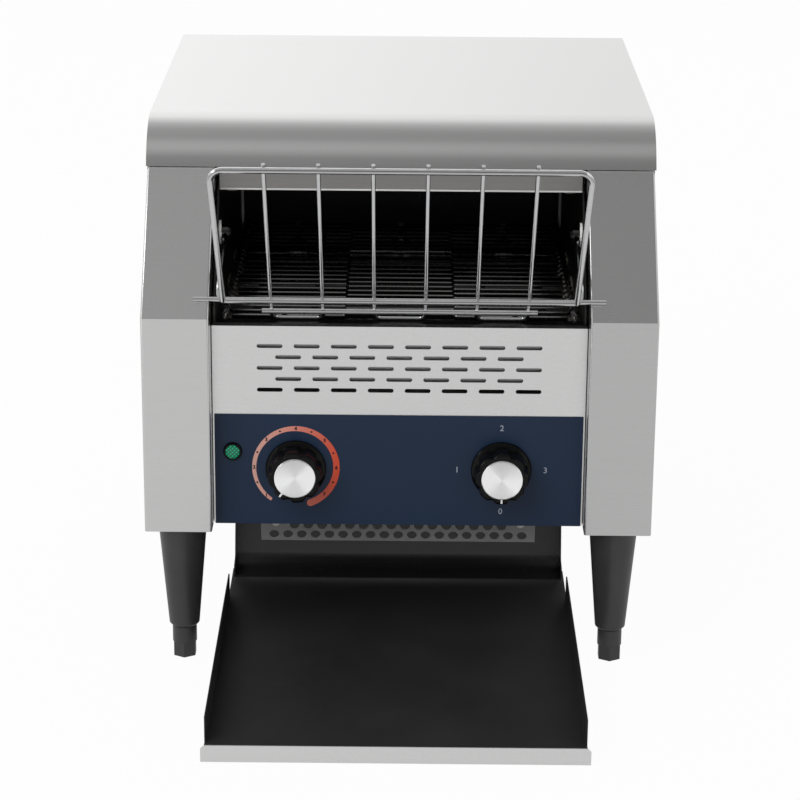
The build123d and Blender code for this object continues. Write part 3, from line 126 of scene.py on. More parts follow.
class Shader:
    """Node tree of one material, put together node by node."""

    def __init__(self, name: str) -> None:
        """Start a material with a Principled shader.

        Args:
            name: Name of the material.
        """
        self.material = bpy.data.materials.new(name)
        self.material.use_nodes = True
        self.tree = self.material.node_tree
        self.surface = self.tree.nodes["Principled BSDF"]

    def node(self, kind: str, **settings: object) -> bpy.types.Node:
        """Add a node.

        Args:
            kind: Blender's name of the node type.
            settings: Properties to set on it.

        Returns:
            The new node.
        """
        made = self.tree.nodes.new(kind)
        for key, value in settings.items():
            setattr(made, key, value)
        return made

    def feed(self, socket: Socket, value: object) -> None:
        """Link a socket to another one, or set it to a constant.

        Args:
            socket: Input to feed.
            value: Output to link to it, or a constant.
        """
        if isinstance(value, Socket):
            self.tree.links.new(value, socket)
        else:
            socket.default_value = value

    def set(self, **values: object) -> None:
        """Set or link sockets of the Principled shader, whose names take _ for a space."""
        for key, value in values.items():
            self.feed(self.surface.inputs[key.replace("_", " ")], value)

    def show(self, surface: Socket) -> None:
        """Make a socket the material's surface, in place of the Principled shader."""
        self.feed(self.tree.nodes["Material Output"].inputs["Surface"], surface)

    def places(self, stretch: Point = (1.0, 1.0, 1.0), centre: Point = (0.0, 0.0, 0.0),
               turn: Point = (0.0, 0.0, 0.0)) -> Socket:
        """Object coordinates, moved so that `centre` is the origin, turned and stretched.

        Args:
            stretch: Factor along each axis.
            centre: Point that becomes the origin, in metres.
            turn: Turn about each axis, in degrees.

        Returns:
            The vector socket.
        """
        moved = self.node("ShaderNodeVectorMath", operation="SUBTRACT")
        self.feed(moved.inputs[0], self.node("ShaderNodeTexCoord").outputs["Object"])
        moved.inputs[1].default_value = centre
        mapping = self.node("ShaderNodeMapping")
        self.feed(mapping.inputs["Vector"], moved.outputs[0])
        mapping.inputs["Scale"].default_value = stretch
        mapping.inputs["Rotation"].default_value = [math.radians(angle) for angle in turn]
        return mapping.outputs["Vector"]

    def part(self, vector: Socket, axis: str) -> Socket:
        """Coordinate of a vector along one axis.

        Args:
            vector: The vector.
            axis: X, Y or Z.

        Returns:
            The coordinate.
        """
        made = self.node("ShaderNodeSeparateXYZ")
        self.feed(made.inputs[0], vector)
        return made.outputs[axis]

    def noise(self, vector: Socket, scale: float, detail: float = 2.0,
              rough: float = 0.5) -> Socket:
        """Noise between 0 and 1.

        Args:
            vector: Place at which it is read.
            scale: Cycles per metre.
            detail: Number of finer layers.
            rough: Strength of the finer layers.

        Returns:
            The noise.
        """
        made = self.node("ShaderNodeTexNoise")
        for key, value in (("Vector", vector), ("Scale", scale), ("Detail", detail),
                           ("Roughness", rough)):
            self.feed(made.inputs[key], value)
        return made.outputs["Fac"]

    def cells(self, vector: Socket, scale: float) -> Socket:
        """Distance to the nearest of the scattered points, for pits and grains.

        Args:
            vector: Place at which it is read.
            scale: Points per metre.

        Returns:
            The distance.
        """
        made = self.node("ShaderNodeTexVoronoi")
        self.feed(made.inputs["Vector"], vector)
        made.inputs["Scale"].default_value = scale
        return made.outputs["Distance"]

    def wave(self, vector: Socket, pitch: float) -> Socket:
        """Bands across X.

        Args:
            vector: Place at which it is read.
            pitch: Distance from band to band, in metres.

        Returns:
            Brightness of the bands.
        """
        made = self.node("ShaderNodeTexWave", bands_direction="X")
        self.feed(made.inputs["Vector"], vector)
        made.inputs["Scale"].default_value = math.pi / (10 * pitch)
        return made.outputs["Fac"]

    def spread(self, value: Socket, low: float, high: float,
               start: float = 0.0, end: float = 1.0) -> Socket:
        """Map a value from the range start..end onto low..high, held at both ends.

        Args:
            value: The value.
            low: Result at the start.
            high: Result at the end.
            start: Value where the range starts.
            end: Value where it ends.

        Returns:
            The mapped value.
        """
        made = self.node("ShaderNodeMapRange")
        for key, given in (("Value", value), ("From Min", start), ("From Max", end),
                           ("To Min", low), ("To Max", high)):
            self.feed(made.inputs[key], given)
        return made.outputs["Result"]

    def sum(self, first: object, second: object, operation: str = "ADD") -> Socket:
        """Combine two numbers with a math operation.

        Args:
            first: First number or socket.
            second: Second number or socket.
            operation: Blender's name of the operation.

        Returns:
            The result.
        """
        made = self.node("ShaderNodeMath", operation=operation)
        self.feed(made.inputs[0], first)
        self.feed(made.inputs[1], second)
        return made.outputs[0]

    def blend(self, share: object, low: object, high: object) -> Socket:
        """Colour between two.

        Args:
            share: Share of the second colour, from 0 to 1.
            low: First colour or socket.
            high: Second colour or socket.

        Returns:
            The colour.
        """
        made = self.node("ShaderNodeMix", data_type="RGBA")
        self.feed(made.inputs[0], share)
        for place, colour in ((6, low), (7, high)):
            ready = colour if isinstance(colour, Socket) else (*colour, 1.0)
            self.feed(made.inputs[place], ready)
        return made.outputs[2]

    def glow(self, strength: object) -> Socket:
        """White light that the surface gives by itself.

        Args:
            strength: Its strength.

        Returns:
            The emission.
        """
        made = self.node("ShaderNodeEmission")
        self.feed(made.inputs["Strength"], strength)
        return made.outputs[0]

    def relief(self, height: Socket, depth: float, strength: float = 1.0) -> None:
        """Bump the surface by a height times a depth.

        Args:
            height: Height from 0 to 1.
            depth: Depth in metres.
            strength: Share of it that shows.
        """
        made = self.node("ShaderNodeBump")
        made.inputs["Strength"].default_value = strength
        made.inputs["Distance"].default_value = depth
        self.feed(made.inputs["Height"], height)
        self.set(Normal=made.outputs["Normal"])


# ---------------------------------------------------------------- finishes
@dataclass(frozen=True)
class Finish:
    """What a surface looks like. Each kind of finish paints a shader in its own way."""

    name: str

    def paint(self, made: Shader) -> None:
        """Paint the shader."""
        raise NotImplementedError

    def material(self) -> bpy.types.Material:
        """Make the material.

        Returns:
            The material.
        """
        made = Shader(self.name)
        self.paint(made)
        return made.material


@dataclass(frozen=True)
class Brushed(Finish):
    """Brushed or rolled sheet steel, with fine lines, faint patches and handling marks."""

    tint: Colour
    roughness: float
    grain: Grain = Grain.ACROSS
    lines: float = 0.025
    dull: float = 0.02
    anisotropy: float = 0.4
    scratch: float = 0.1
    scratch_depth: float = 0.02 * MM
    crosswise: Point = (0.0, 0.12, 1.0)
    fine_scale: float = 75.0
    fine_share: float = 0.65
    broad_scale: float = 5.0
    patch_scale: float = 9.0

    def paint(self, made: Shader) -> None:
        """Paint the shader.

        Args:
            made: Shader of the material.
        """
        fine = made.noise(made.places(self.grain.value), self.fine_scale, 2.0, 0.6)
        broad = made.noise(made.places(self.grain.value), self.broad_scale)
        patches = made.noise(made.places(), self.patch_scale, 3.0, 0.6)
        streaks = made.sum(made.sum(fine, self.fine_share, "MULTIPLY"),
                           made.sum(broad, 1 - self.fine_share, "MULTIPLY"))
        tone = made.sum(streaks, made.spread(patches, -self.dull, self.dull, *NOISE_BAND))
        across = made.node("ShaderNodeCombineXYZ")
        for socket, value in zip(across.inputs, self.crosswise):
            socket.default_value = value
        made.set(Base_Color=made.blend(made.spread(tone, 0.0, 1.0, *NOISE_BAND),
                                       shade(self.tint, 1 - self.lines),
                                       shade(self.tint, 1 + self.lines)),
                 Metallic=1.0, Anisotropic=self.anisotropy, Tangent=across.outputs[0],
                 Roughness=made.spread(tone, self.roughness - 0.02, self.roughness + 0.03,
                                       *NOISE_BAND))
        made.relief(streaks, self.scratch_depth, self.scratch)


@dataclass(frozen=True)
class Coated(Finish):
    """Painted, enamelled or film-covered sheet with a very fine orange peel."""

    colour: Colour
    roughness: float
    peel: float = 0.015
    fade: float = 0.12
    specular: float = 0.5
    peel_scale: float = 900.0
    haze_scale: float = 14.0

    def paint(self, made: Shader) -> None:
        """Paint the shader.

        Args:
            made: Shader of the material.
        """
        peel = made.noise(made.places(), self.peel_scale)
        haze = made.noise(made.places(), self.haze_scale, 3.0, 0.6)
        made.set(Base_Color=made.blend(made.spread(haze, 0.0, 1.0, *NOISE_BAND),
                                       shade(self.colour, 1 - self.fade),
                                       shade(self.colour, 1 + self.fade)),
                 Roughness=made.spread(haze, self.roughness * 0.9, self.roughness * 1.12,
                                       *NOISE_BAND),
                 Specular_IOR_Level=self.specular)
        made.relief(peel, self.peel * MM, 0.5)


@dataclass(frozen=True)
class Moulded(Finish):
    """Moulded plastic or ceramic with a fine grain and lighter rubbed spots."""

    colour: Colour
    roughness: float
    grain: float = 0.03
    grain_scale: float = 1400.0
    rubbed: float = 0.25
    wear_scale: float = 60.0

    def paint(self, made: Shader) -> None:
        """Paint the shader.

        Args:
            made: Shader of the material.
        """
        grain = made.cells(made.places(), self.grain_scale)
        wear = made.noise(made.places(), self.wear_scale, 4.0, 0.65)
        made.set(Base_Color=made.blend(made.spread(wear, 0.0, 1.0, *WEAR_BAND), self.colour,
                                       shade(self.colour, 1 + self.rubbed)),
                 Roughness=made.spread(wear, self.roughness, self.roughness * 0.85, *WEAR_BAND))
        made.relief(grain, self.grain * MM, 0.6)


@dataclass(frozen=True)
class Wire(Finish):
    """Drawn steel wire, darkened as painted shade where it runs into the unlit chamber, and on its
    upright sides as painted shade of what they mirror.
    """

    tint: Colour
    roughness: float
    heat: float = 0.0
    heat_start: float = 0.0
    heat_end: float = 1.0
    sooting: Sooting = Sooting.DEPTH
    film: float = 1.0
    upright_band: tuple[float, float] = (0.1, 0.7)
    burnt: float = 0.03
    spot_scale: float = 160.0

    def paint(self, made: Shader) -> None:
        """Paint the shader.

        Args:
            made: Shader of the material.
        """
        spots = made.noise(made.places(), self.spot_scale, 3.0, 0.6)
        bright = made.blend(made.spread(spots, 0.0, 1.0, *SPOT_BAND), shade(self.tint, 0.9),
                            self.tint)
        # Painted shade: faces whose normal lies near level are darkened, so upright wires and the
        # fronts of level ones look dim.
        if self.film < 1.0:
            facing = made.part(made.node("ShaderNodeTexCoord").outputs["Normal"], "Z")
            upright = made.spread(made.sum(facing, 0.0, "ABSOLUTE"), 1.0, 0.0, *self.upright_band)
            bright = made.blend(upright, bright, shade(self.tint, self.film))
        # Painted shade of the unlit chamber: the wire fades to near black from one depth, or one
        # distance from the middle, to the next.
        if self.heat:
            along = made.part(made.places(), self.sooting.value)
            if self.sooting is Sooting.WIDTH:
                along = made.sum(along, 0.0, "ABSOLUTE")
            chamber_shaded = made.spread(along, 0.0, self.heat, self.heat_start, self.heat_end)
            bright = made.blend(chamber_shaded, bright, shade(self.tint, self.burnt))
        made.set(Base_Color=bright, Metallic=1.0,
                 Roughness=made.spread(spots, self.roughness * 0.8, self.roughness * 1.3,
                                       *SPOT_BAND))
        made.relief(spots, 0.01 * MM, 0.4)


@dataclass(frozen=True)
class Spun(Finish):
    """Disc of aluminium turned on a lathe, whose grooves run round its middle."""

    tint: Colour
    roughness: float
    centre: Point
    groove_depth: float = 0.006 * MM
    groove_scale: float = 2600.0

    def paint(self, made: Shader) -> None:
        """Paint the shader.

        Args:
            made: Shader of the material.
        """
        around = made.node("ShaderNodeVectorMath", operation="CROSS_PRODUCT")
        made.feed(around.inputs[0], made.places(centre=self.centre))
        around.inputs[1].default_value = (0.0, 1.0, 0.0)
        reach = made.node("ShaderNodeVectorMath", operation="LENGTH")
        made.feed(reach.inputs[0], around.outputs[0])
        along = made.node("ShaderNodeCombineXYZ")
        made.feed(along.inputs[0], reach.outputs["Value"])
        grooves = made.noise(along.outputs[0], self.groove_scale)
        made.set(Base_Color=made.blend(grooves, shade(self.tint, 0.95), shade(self.tint, 1.04)),
                 Metallic=1.0, Roughness=self.roughness, Anisotropic=0.9,
                 Anisotropic_Rotation=0.25, Tangent=around.outputs[0])
        made.relief(grooves, self.groove_depth, 0.3)


@dataclass(frozen=True)
class Lens(Finish):
    """Pilot lamp lens with a cross-hatch of fine prisms, whose shade is painted as a dark lattice
    in its colour and glow.
    """

    colour: Colour
    centre: Point
    pitch: float = 2.0 * MM
    lean: float = 45.0

    def paint(self, made: Shader) -> None:
        """Paint the shader.

        Args:
            made: Shader of the material.
        """
        waves = [made.wave(made.places(centre=self.centre, turn=(0.0, turn, 0.0)), self.pitch)
                 for turn in (self.lean, -self.lean)]
        lattice = made.sum(waves[0], waves[1], "MAXIMUM")
        # Painted shade: along the prism lattice the green, and its glow, are darkened; the bump
        # gives the prisms' relief.
        dark = shade(self.colour, 0.12)
        made.set(Base_Color=made.blend(made.spread(lattice, 1.0, 0.0, 0.45, 1.0), dark,
                                       self.colour),
                 Roughness=0.15, Coat_Weight=0.3, Coat_Roughness=0.08, Specular_IOR_Level=0.3,
                 Emission_Color=made.blend(made.spread(lattice, 1.0, 0.0, 0.5, 1.0), dark,
                                           self.colour),
                 Emission_Strength=0.18)
        made.relief(lattice, 0.15 * MM, 0.6)


@dataclass(frozen=True)
class Quartz(Finish):
    """Frosted quartz tube with the coil of its heating wire showing through."""

    colour: Colour
    coil: Colour
    pitch: float = 2.6 * MM
    lean: float = 8.0

    def paint(self, made: Shader) -> None:
        """Paint the shader.

        Args:
            made: Shader of the material.
        """
        turns = made.wave(made.places(turn=(0.0, 0.0, self.lean)), self.pitch)
        made.set(Base_Color=made.blend(made.spread(turns, 0.0, 1.0, 0.55, 0.8), self.colour,
                                       self.coil),
                 Roughness=0.18, Transmission_Weight=0.35, IOR=1.46, Coat_Weight=0.5,
                 Coat_Roughness=0.04)
        made.relief(turns, 0.05 * MM, 0.2)


@dataclass(frozen=True)
class Ink(Finish):
    """Screen-printed ink whose colour may run from one side of a dial to the other."""

    colour: Colour
    end_colour: Colour | None = None
    centre_x: float = 0.0
    reach: float = 1.0
    speck_scale: float = 1800.0

    def paint(self, made: Shader) -> None:
        """Paint the shader.

        Args:
            made: Shader of the material.
        """
        speck = made.noise(made.places(), self.speck_scale)
        colour = made.blend(speck, shade(self.colour, 0.93), self.colour)
        if self.end_colour:
            along = made.part(made.places(centre=(self.centre_x, 0.0, 0.0)), "X")
            share = made.spread(along, 0.0, 1.0, -self.reach, self.reach)
            colour = made.blend(share, colour, self.end_colour)
        made.set(Base_Color=colour, Roughness=made.spread(speck, 0.42, 0.55),
                 Specular_IOR_Level=0.2)
        made.relief(speck, 0.01 * MM, 0.3)


STAINLESS = Brushed("stainless_top", (0.70, 0.70, 0.696), 0.2)
# Painted shade: both side covers are the top's stainless made darker, the right one more, as the
# light fell from the left.
LEFT_STEEL_SHADED = Brushed("stainless_left_shaded", (0.60, 0.60, 0.597), 0.25)
RIGHT_STEEL_SHADED = Brushed("stainless_right_shaded", (0.51, 0.51, 0.508), 0.25)
PANEL_STEEL = Brushed("stainless_panel", (0.69, 0.69, 0.687), 0.28)
SOOTED_STEEL = Brushed("sooted_steel", (0.07, 0.068, 0.066), 0.5, lines=0.2, dull=0.15)
DULLED_STEEL = Brushed("heat_dulled_steel", (0.30, 0.295, 0.29), 0.42, lines=0.12, dull=0.1)
BASE_STEEL = Brushed("galvanised_base", (0.52, 0.52, 0.52), 0.38, Grain.ENDWISE, 0.08, 0.08)
DUCT_STEEL = Brushed("plain_sheet", (0.50, 0.50, 0.50), 0.4, lines=0.04)
TURNED_STEEL = Brushed("turned_steel", (0.6, 0.6, 0.6), 0.25, Grain.UPRIGHT, 0.06)
BRONZE = Brushed("sintered_bronze", (0.50, 0.36, 0.18), 0.45, lines=0.08)
DIE_CAST = Brushed("die_cast_case", (0.55, 0.55, 0.56), 0.5, lines=0.03, anisotropy=0.0)
GUARD_STEEL = Coated("guard_sheet", (0.26, 0.26, 0.26), 0.45, 0.01, 0.08)
# Zinc plate of the guard screws; on the lintel hem and the wall ribs it is a painted highlight.
ZINC_AND_PAINTED_HIGHLIGHT = Coated("zinc_and_painted_highlight", (0.70, 0.70, 0.68), 0.35, 0.01, 0.05)
FASCIA_FILM = Coated("navy_film", (0.0088, 0.0215, 0.050), 0.34, 0.008, 0.06, 0.22)
GLOSS_ENAMEL = Coated("gloss_black_enamel", (0.006, 0.006, 0.0065), 0.12, 0.01, 0.1)
SLIDE_ENAMEL = Coated("slide_enamel", (0.019, 0.019, 0.0195), 0.26, 0.008, 0.02, 0.7)
MATT_COATING = Coated("matt_black_coating", (0.016, 0.016, 0.0165), 0.55, 0.02, 0.1, 0.3)
MOTOR_PAINT = Coated("motor_paint", (0.02, 0.02, 0.022), 0.4)
KNOB_PLASTIC = Coated("gloss_knob_plastic", (0.0035, 0.0035, 0.0035), 0.13, 0.004, 0.1, 0.13)
LEG_PLASTIC = Moulded("leg_plastic", (0.024, 0.024, 0.025), 0.42, 0.02)
INNER_PLASTIC = Moulded("black_fittings_plastic", (0.02, 0.02, 0.021), 0.45)
CREAM_PLASTIC = Moulded("cream_plastic", (0.62, 0.56, 0.42), 0.5)
CERAMIC = Moulded("unglazed_ceramic", (0.34, 0.31, 0.27), 0.7, 0.05, 700.0, 0.05)
# White of the pin washers, a painted highlight.
WASHER_PAINTED_HIGHLIGHT = Moulded("washer_painted_highlight", (0.84, 0.84, 0.82), 0.4, 0.01, rubbed=0.03)
RUBBER = Moulded("gland_rubber", (0.012, 0.012, 0.012), 0.7)
# Painted shade: the polished wire, the pins and the belt darken to near black where they run into
# the unlit chamber; the wire and the belt are also darker on their upright sides.
CHROME = Wire("polished_wire", (0.86, 0.86, 0.87), 0.1, 0.93, -0.073, -0.060, film=0.45)
PIN_STEEL = Wire("pin_steel", (0.85, 0.85, 0.85), 0.2, 1.0, 0.1302, 0.1288, Sooting.WIDTH)
BELT_WIRE = Wire("belt_wire", (0.56, 0.56, 0.555), 0.25, 1.0, -0.10, 0.085, film=0.3)
# Painted shade: the tubes and their coil are near black for the unlit chamber; clear quartz with
# its coil would look light grey.
QUARTZ_PAINTED_DARK = Quartz("quartz_tube", (0.02, 0.019, 0.018), (0.008, 0.007, 0.006))
PRINT_GREY = Ink("pale_print", (0.33, 0.36, 0.43))
PRINT_DARK = Ink("dark_print", (0.006, 0.006, 0.008))
TICK_WHITE = Ink("white_tick", (0.85, 0.85, 0.85))
RING_ORANGE, RING_RED = (0.66, 0.37, 0.31), (0.60, 0.075, 0.035)
LENS_GREEN = (0.004, 0.34, 0.17)
CAP_ALUMINIUM = (0.98, 0.98, 0.985)

NODES_OF_FINISH: tuple[tuple[Finish, str], ...] = (
    (STAINLESS, "top_cover"),
    (LEFT_STEEL_SHADED, "left_side_cover"),
    (RIGHT_STEEL_SHADED, "right_side_cover"),
    (PANEL_STEEL, "rear_panel front_panel tray_lip"),
    (SOOTED_STEEL, "left_chamber_wall right_chamber_wall lower_reflector belt_rails"),
    (DULLED_STEEL, "upper_reflector"),
    (BASE_STEEL, "base_pan control_box_cover"),
    (DUCT_STEEL, "duct_plate"),
    (GUARD_STEEL, "outlet_guard"),
    (FASCIA_FILM, "control_fascia"),
    (GLOSS_ENAMEL, "belt_apron"),
    (SLIDE_ENAMEL, "toast_slide"),
    (MATT_COATING, "tray_pan"),
    (CHROME, "intake_rack"),
    (PIN_STEEL, "rack_pins"),
    (BELT_WIRE, "conveyor_belt"),
    (TURNED_STEEL, "front_shaft rear_shaft front_belt_sprockets rear_belt_sprockets "
                   "shaft_chain_sprocket motor_chain_sprocket motor_output_shaft drive_chain "
                   "colour_spindle selector_spindle rear_panel_screws slide_spacers"),
    (ZINC_AND_PAINTED_HIGHLIGHT, "guard_screws"),
    (BRONZE, "shaft_bearings"),
    (CERAMIC, "tube_end_caps"),
    (KNOB_PLASTIC, "colour_knob selector_knob lamp_bezel"),
    (CREAM_PLASTIC, "terminal_block"),
    (DIE_CAST, "gearbox"),
    (MOTOR_PAINT, "drive_motor"),
    (INNER_PLASTIC, "cable_gland fan_frame fan_rotor selector_switch colour_regulator"),
    (QUARTZ_PAINTED_DARK, "heating_tubes"),
    (LEG_PLASTIC, " ".join(f"{part}_{corner}" for corner in CORNERS for part in ("leg", "foot"))),
)
FINISH_OF_NODE = {node: finish for finish, nodes in NODES_OF_FINISH for node in nodes.split()}


class Finishes:
    """Keeps one material for each finish."""

    _made: dict[str, bpy.types.Material] = {}

    @classmethod
    def of(cls, finish: Finish) -> bpy.types.Material:
        """Material of a finish, made at its first use.

        Args:
            finish: The finish.

        Returns:
            Its material.
        """
        if finish.name not in cls._made:
            cls._made[finish.name] = finish.material()
        return cls._made[finish.name]


# ---------------------------------------------------------------- modelling tools
class Bench:
    """The operators that the pieces are modelled with."""

    @staticmethod
    def clear() -> None:
        """Deselect everything."""
        bpy.ops.object.select_all(action="DESELECT")

    @staticmethod
    def pick(piece: Piece) -> None:
        """Select one piece alone and make it active.

        Args:
            piece: The piece.
        """
        Bench.clear()
        piece.select_set(True)
        bpy.context.view_layer.objects.active = piece

    @staticmethod
    @contextmanager
    def editing(piece: Piece, everything: bool = False) -> Iterator[bmesh.types.BMesh]:
        """Edit mode on a piece.

        Args:
            piece: The mesh object.
            everything: Whether all of it is selected at first, or nothing.

        Returns:
            Its mesh in edit mode.
        """
        Bench.pick(piece)
        bpy.ops.object.mode_set(mode="EDIT")
        bpy.ops.mesh.select_all(action="SELECT" if everything else "DESELECT")
        yield bmesh.from_edit_mesh(piece.data)
        bpy.ops.object.mode_set(mode="OBJECT")

    @staticmethod
    def select(mesh: bmesh.types.BMesh, piece: Piece,
               test: Callable[[bmesh.types.BMFace], bool]) -> None:
        """Select the faces that pass a test, and nothing else.

        Args:
            mesh: The piece's mesh in edit mode.
            piece: The piece.
            test: Says whether a face is selected.
        """
        for face in mesh.faces:
            face.select_set(test(face))
        bmesh.update_edit_mesh(piece.data)

    @staticmethod
    def turned(name: str, profile: Profile, sides: int = 64) -> Piece:
        """Round piece about Z, drawn up from a disc by extruding and scaling its face.

        Args:
            name: Name of the piece.
            profile: Radius and height of each ring in metres, from the disc at height 0.
            sides: Number of its sides.

        Returns:
            The piece.
        """
        Bench.clear()
        bpy.ops.mesh.primitive_circle_add(vertices=sides, radius=profile[0][0], fill_type="NGON")
        piece = bpy.context.object
        piece.name = name
        with Bench.editing(piece, everything=True):
            for (radius, height), (next_radius, next_height) in zip(profile, profile[1:]):
                bpy.ops.mesh.extrude_region_move(
                    TRANSFORM_OT_translate={"value": (0.0, 0.0, next_height - height)})
                share = next_radius / radius
                bpy.ops.transform.resize(value=(share, share, 1.0),
                                         center_override=(0.0, 0.0, next_height))
        with Bench.editing(piece, everything=True):
            bpy.ops.mesh.normals_make_consistent(inside=False)
        return piece

    @staticmethod
    def bar(name: str, low: Point, high: Point, radius: float = 0.0) -> Piece:
        """Bar between two corners, with rounded edges.

        Args:
            name: Name of the piece.
            low: Its lowest corner.
            high: Its highest corner.
            radius: Radius of its edges, 0 for sharp ones.

        Returns:
            The bar.
        """
        Bench.clear()
        bpy.ops.mesh.primitive_cube_add(size=1.0)
        bar = bpy.context.object
        bar.name = name
        bar.scale = [b - a for a, b in zip(low, high)]
        bar.location = [(a + b) / 2 for a, b in zip(low, high)]
        bpy.ops.object.transform_apply(location=True, rotation=True, scale=True)
        if radius:
            Bench.ease(bar, radius, 3)
        return bar

    @staticmethod
    def modify(piece: Piece, kind: str, **settings: object) -> None:
        """Add a modifier, set it and apply it.

        Args:
            piece: The piece.
            kind: Blender's name of the modifier type.
            settings: Properties to set on it.
        """
        Bench.pick(piece)
        modifier = piece.modifiers.new(kind.lower(), kind)
        for key, value in settings.items():
            setattr(modifier, key, value)
        bpy.ops.object.modifier_apply(modifier=modifier.name)

    @staticmethod
    def ease(piece: Piece, width: float, segments: int = 2, angle: float = 32.0) -> None:
        """Round the sharp edges of a piece and shade it smooth between them.

        Args:
            piece: The piece.
            width: Width of the rounding, in metres.
            segments: Its number of steps.
            angle: Angle from which an edge is sharp, in degrees.
        """
        Bench.modify(piece, "BEVEL", width=width, segments=segments, limit_method="ANGLE",
                     angle_limit=math.radians(angle))
        Bench.smooth(piece, angle)

    @staticmethod
    def weld(piece: Piece, gap: float) -> None:
        """Merge points closer than a gap, drop faces without area and turn the rest outwards.

        Args:
            piece: The piece.
            gap: The gap, in metres.
        """
        with Bench.editing(piece, everything=True):
            bpy.ops.mesh.remove_doubles(threshold=gap)
            bpy.ops.mesh.dissolve_degenerate(threshold=gap)
            bpy.ops.mesh.normals_make_consistent(inside=False)

    @staticmethod
    def smooth(piece: Piece, angle: float = 32.0) -> None:
        """Shade a piece smooth, up to an angle between faces."""
        Bench.pick(piece)
        bpy.ops.object.shade_smooth_by_angle(angle=math.radians(angle))

    @staticmethod
    def put(piece: Piece, place: Point, turn: Point = (0.0, 0.0, 0.0)) -> None:
        """Move a piece to its place and turn it, with the place kept in its mesh.

        Args:
            piece: The piece, modelled about the origin.
            place: Where its origin goes, in metres.
            turn: Turn about X, Y and Z, in degrees.
        """
        Bench.pick(piece)
        piece.location = place
        piece.rotation_euler = [math.radians(angle) for angle in turn]
        bpy.ops.object.transform_apply(location=True, rotation=True, scale=True)

    @staticmethod
    def cut(piece: Piece, cutter: Piece) -> None:
        """Cut one piece's shape out of another, and throw the cutter away."""
        Bench.modify(piece, "BOOLEAN", operation="DIFFERENCE", object=cutter, solver="EXACT")
        bpy.data.objects.remove(cutter)

    @staticmethod
    def copy(piece: Piece, name: str) -> Piece:
        """Copy of a piece with a mesh of its own.

        Args:
            piece: The piece.
            name: Name of the copy.

        Returns:
            The copy.
        """
        made = piece.copy()
        made.data = piece.data.copy()
        made.name = name
        bpy.context.scene.collection.objects.link(made)
        return made

    @staticmethod
    def join(pieces: Sequence[Piece], name: str) -> Piece:
        """Join pieces into the first one.

        Args:
            pieces: The pieces.
            name: New name of the first one.

        Returns:
            The first one.
        """
        Bench.clear()
        for piece in pieces:
            piece.select_set(True)
        bpy.context.view_layer.objects.active = pieces[0]
        bpy.ops.object.join()
        pieces[0].name = name
        return pieces[0]

    @staticmethod
    def dress(piece: Piece, finish: Finish) -> None:
        """Give a piece one finish."""
        piece.data.materials.clear()
        piece.data.materials.append(Finishes.of(finish))

    @staticmethod
    def hand_over(piece: Piece, finish: Finish, body: str, slot: str, *replaced: str) -> None:
        """Dress a finished piece, give it to its body, and report it.

        Args:
            piece: The finished piece.
            finish: Its finish.
            body: Body that it moves with.
            slot: Material slot of the record; not used.
            replaced: Nodes that it stands for.
        """
        Bench.dress(piece, finish)
        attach(piece, body)
        if replaced:
            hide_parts(*replaced)
        LOG.info("%s: %d faces, on %s", piece.name, len(piece.data.polygons), body)


# ---------------------------------------------------------------- dressed nodes
@dataclass
class NodeFinishes:
    """Gives every node that stays visible its finish."""

    dressed: dict[str, Finish] = field(default_factory=lambda: dict(FINISH_OF_NODE))
    smooth_angle: float = 30.0

    def build(self) -> None:
        """Dress all nodes."""
        for node, finish in self.dressed.items():
            Bench.dress(frame["nodes"][node], finish)
            Bench.smooth(frame["nodes"][node], self.smooth_angle)
        LOG.info("finishes on %d nodes", len(self.dressed))


@dataclass
class EasedNodes:
    """Copies of rigid nodes whose cut edges are rounded as those of sheet and castings are."""

    sheets: tuple[tuple[str, str, str, float], ...] = (
        ("top_cover", "casing", "stainless", 0.1 * MM),
        ("left_side_cover", "casing", "stainless", 0.28 * MM),
        ("right_side_cover", "casing", "stainless", 0.28 * MM),
        ("control_fascia", "casing", "navy_panel", 0.25 * MM),
        ("tray_pan", "tray", "black_enamel", 0.28 * MM),
        ("tray_lip", "tray", "stainless", 0.28 * MM),
        ("upper_reflector", "casing", "inner_steel", 0.28 * MM),
        ("belt_apron", "casing", "black_enamel", 0.28 * MM),
        ("outlet_guard", "casing", "bright_sheet", 0.22 * MM),
        *((f"leg_{corner}", "casing", "black_plastic", 0.5 * MM) for corner in CORNERS),
        *((f"foot_{corner}", f"{corner}_foot", "black_plastic", 0.4 * MM) for corner in CORNERS),
    )
    merge_gap: float = 0.002 * MM
    flat_angle: float = 0.5
    edge_angle: float = 40.0

    def copy_of(self, node: str) -> Piece:
        """Merged copy of a node's mesh, with its flat faces in one piece each.

        Args:
            node: Name of the node.

        Returns:
            The copy.
        """
        copy = Bench.copy(frame["nodes"][node], f"{node}_eased")
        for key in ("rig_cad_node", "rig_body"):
            if key in copy:
                del copy[key]
        copy.parent = None
        with Bench.editing(copy, everything=True):
            bpy.ops.mesh.remove_doubles(threshold=self.merge_gap)
            bpy.ops.mesh.dissolve_limited(angle_limit=math.radians(self.flat_angle))
            bpy.ops.mesh.customdata_custom_splitnormals_clear()
        return copy

    def build(self) -> None:
        """Make every eased copy."""
        for node, body, slot, edge in self.sheets:
            copy = self.copy_of(node)
            Bench.ease(copy, edge, 2, self.edge_angle)
            Bench.modify(copy, "WEIGHTED_NORMAL", weight=100, keep_sharp=True)
            Bench.hand_over(copy, FINISH_OF_NODE[node], body, slot, node)


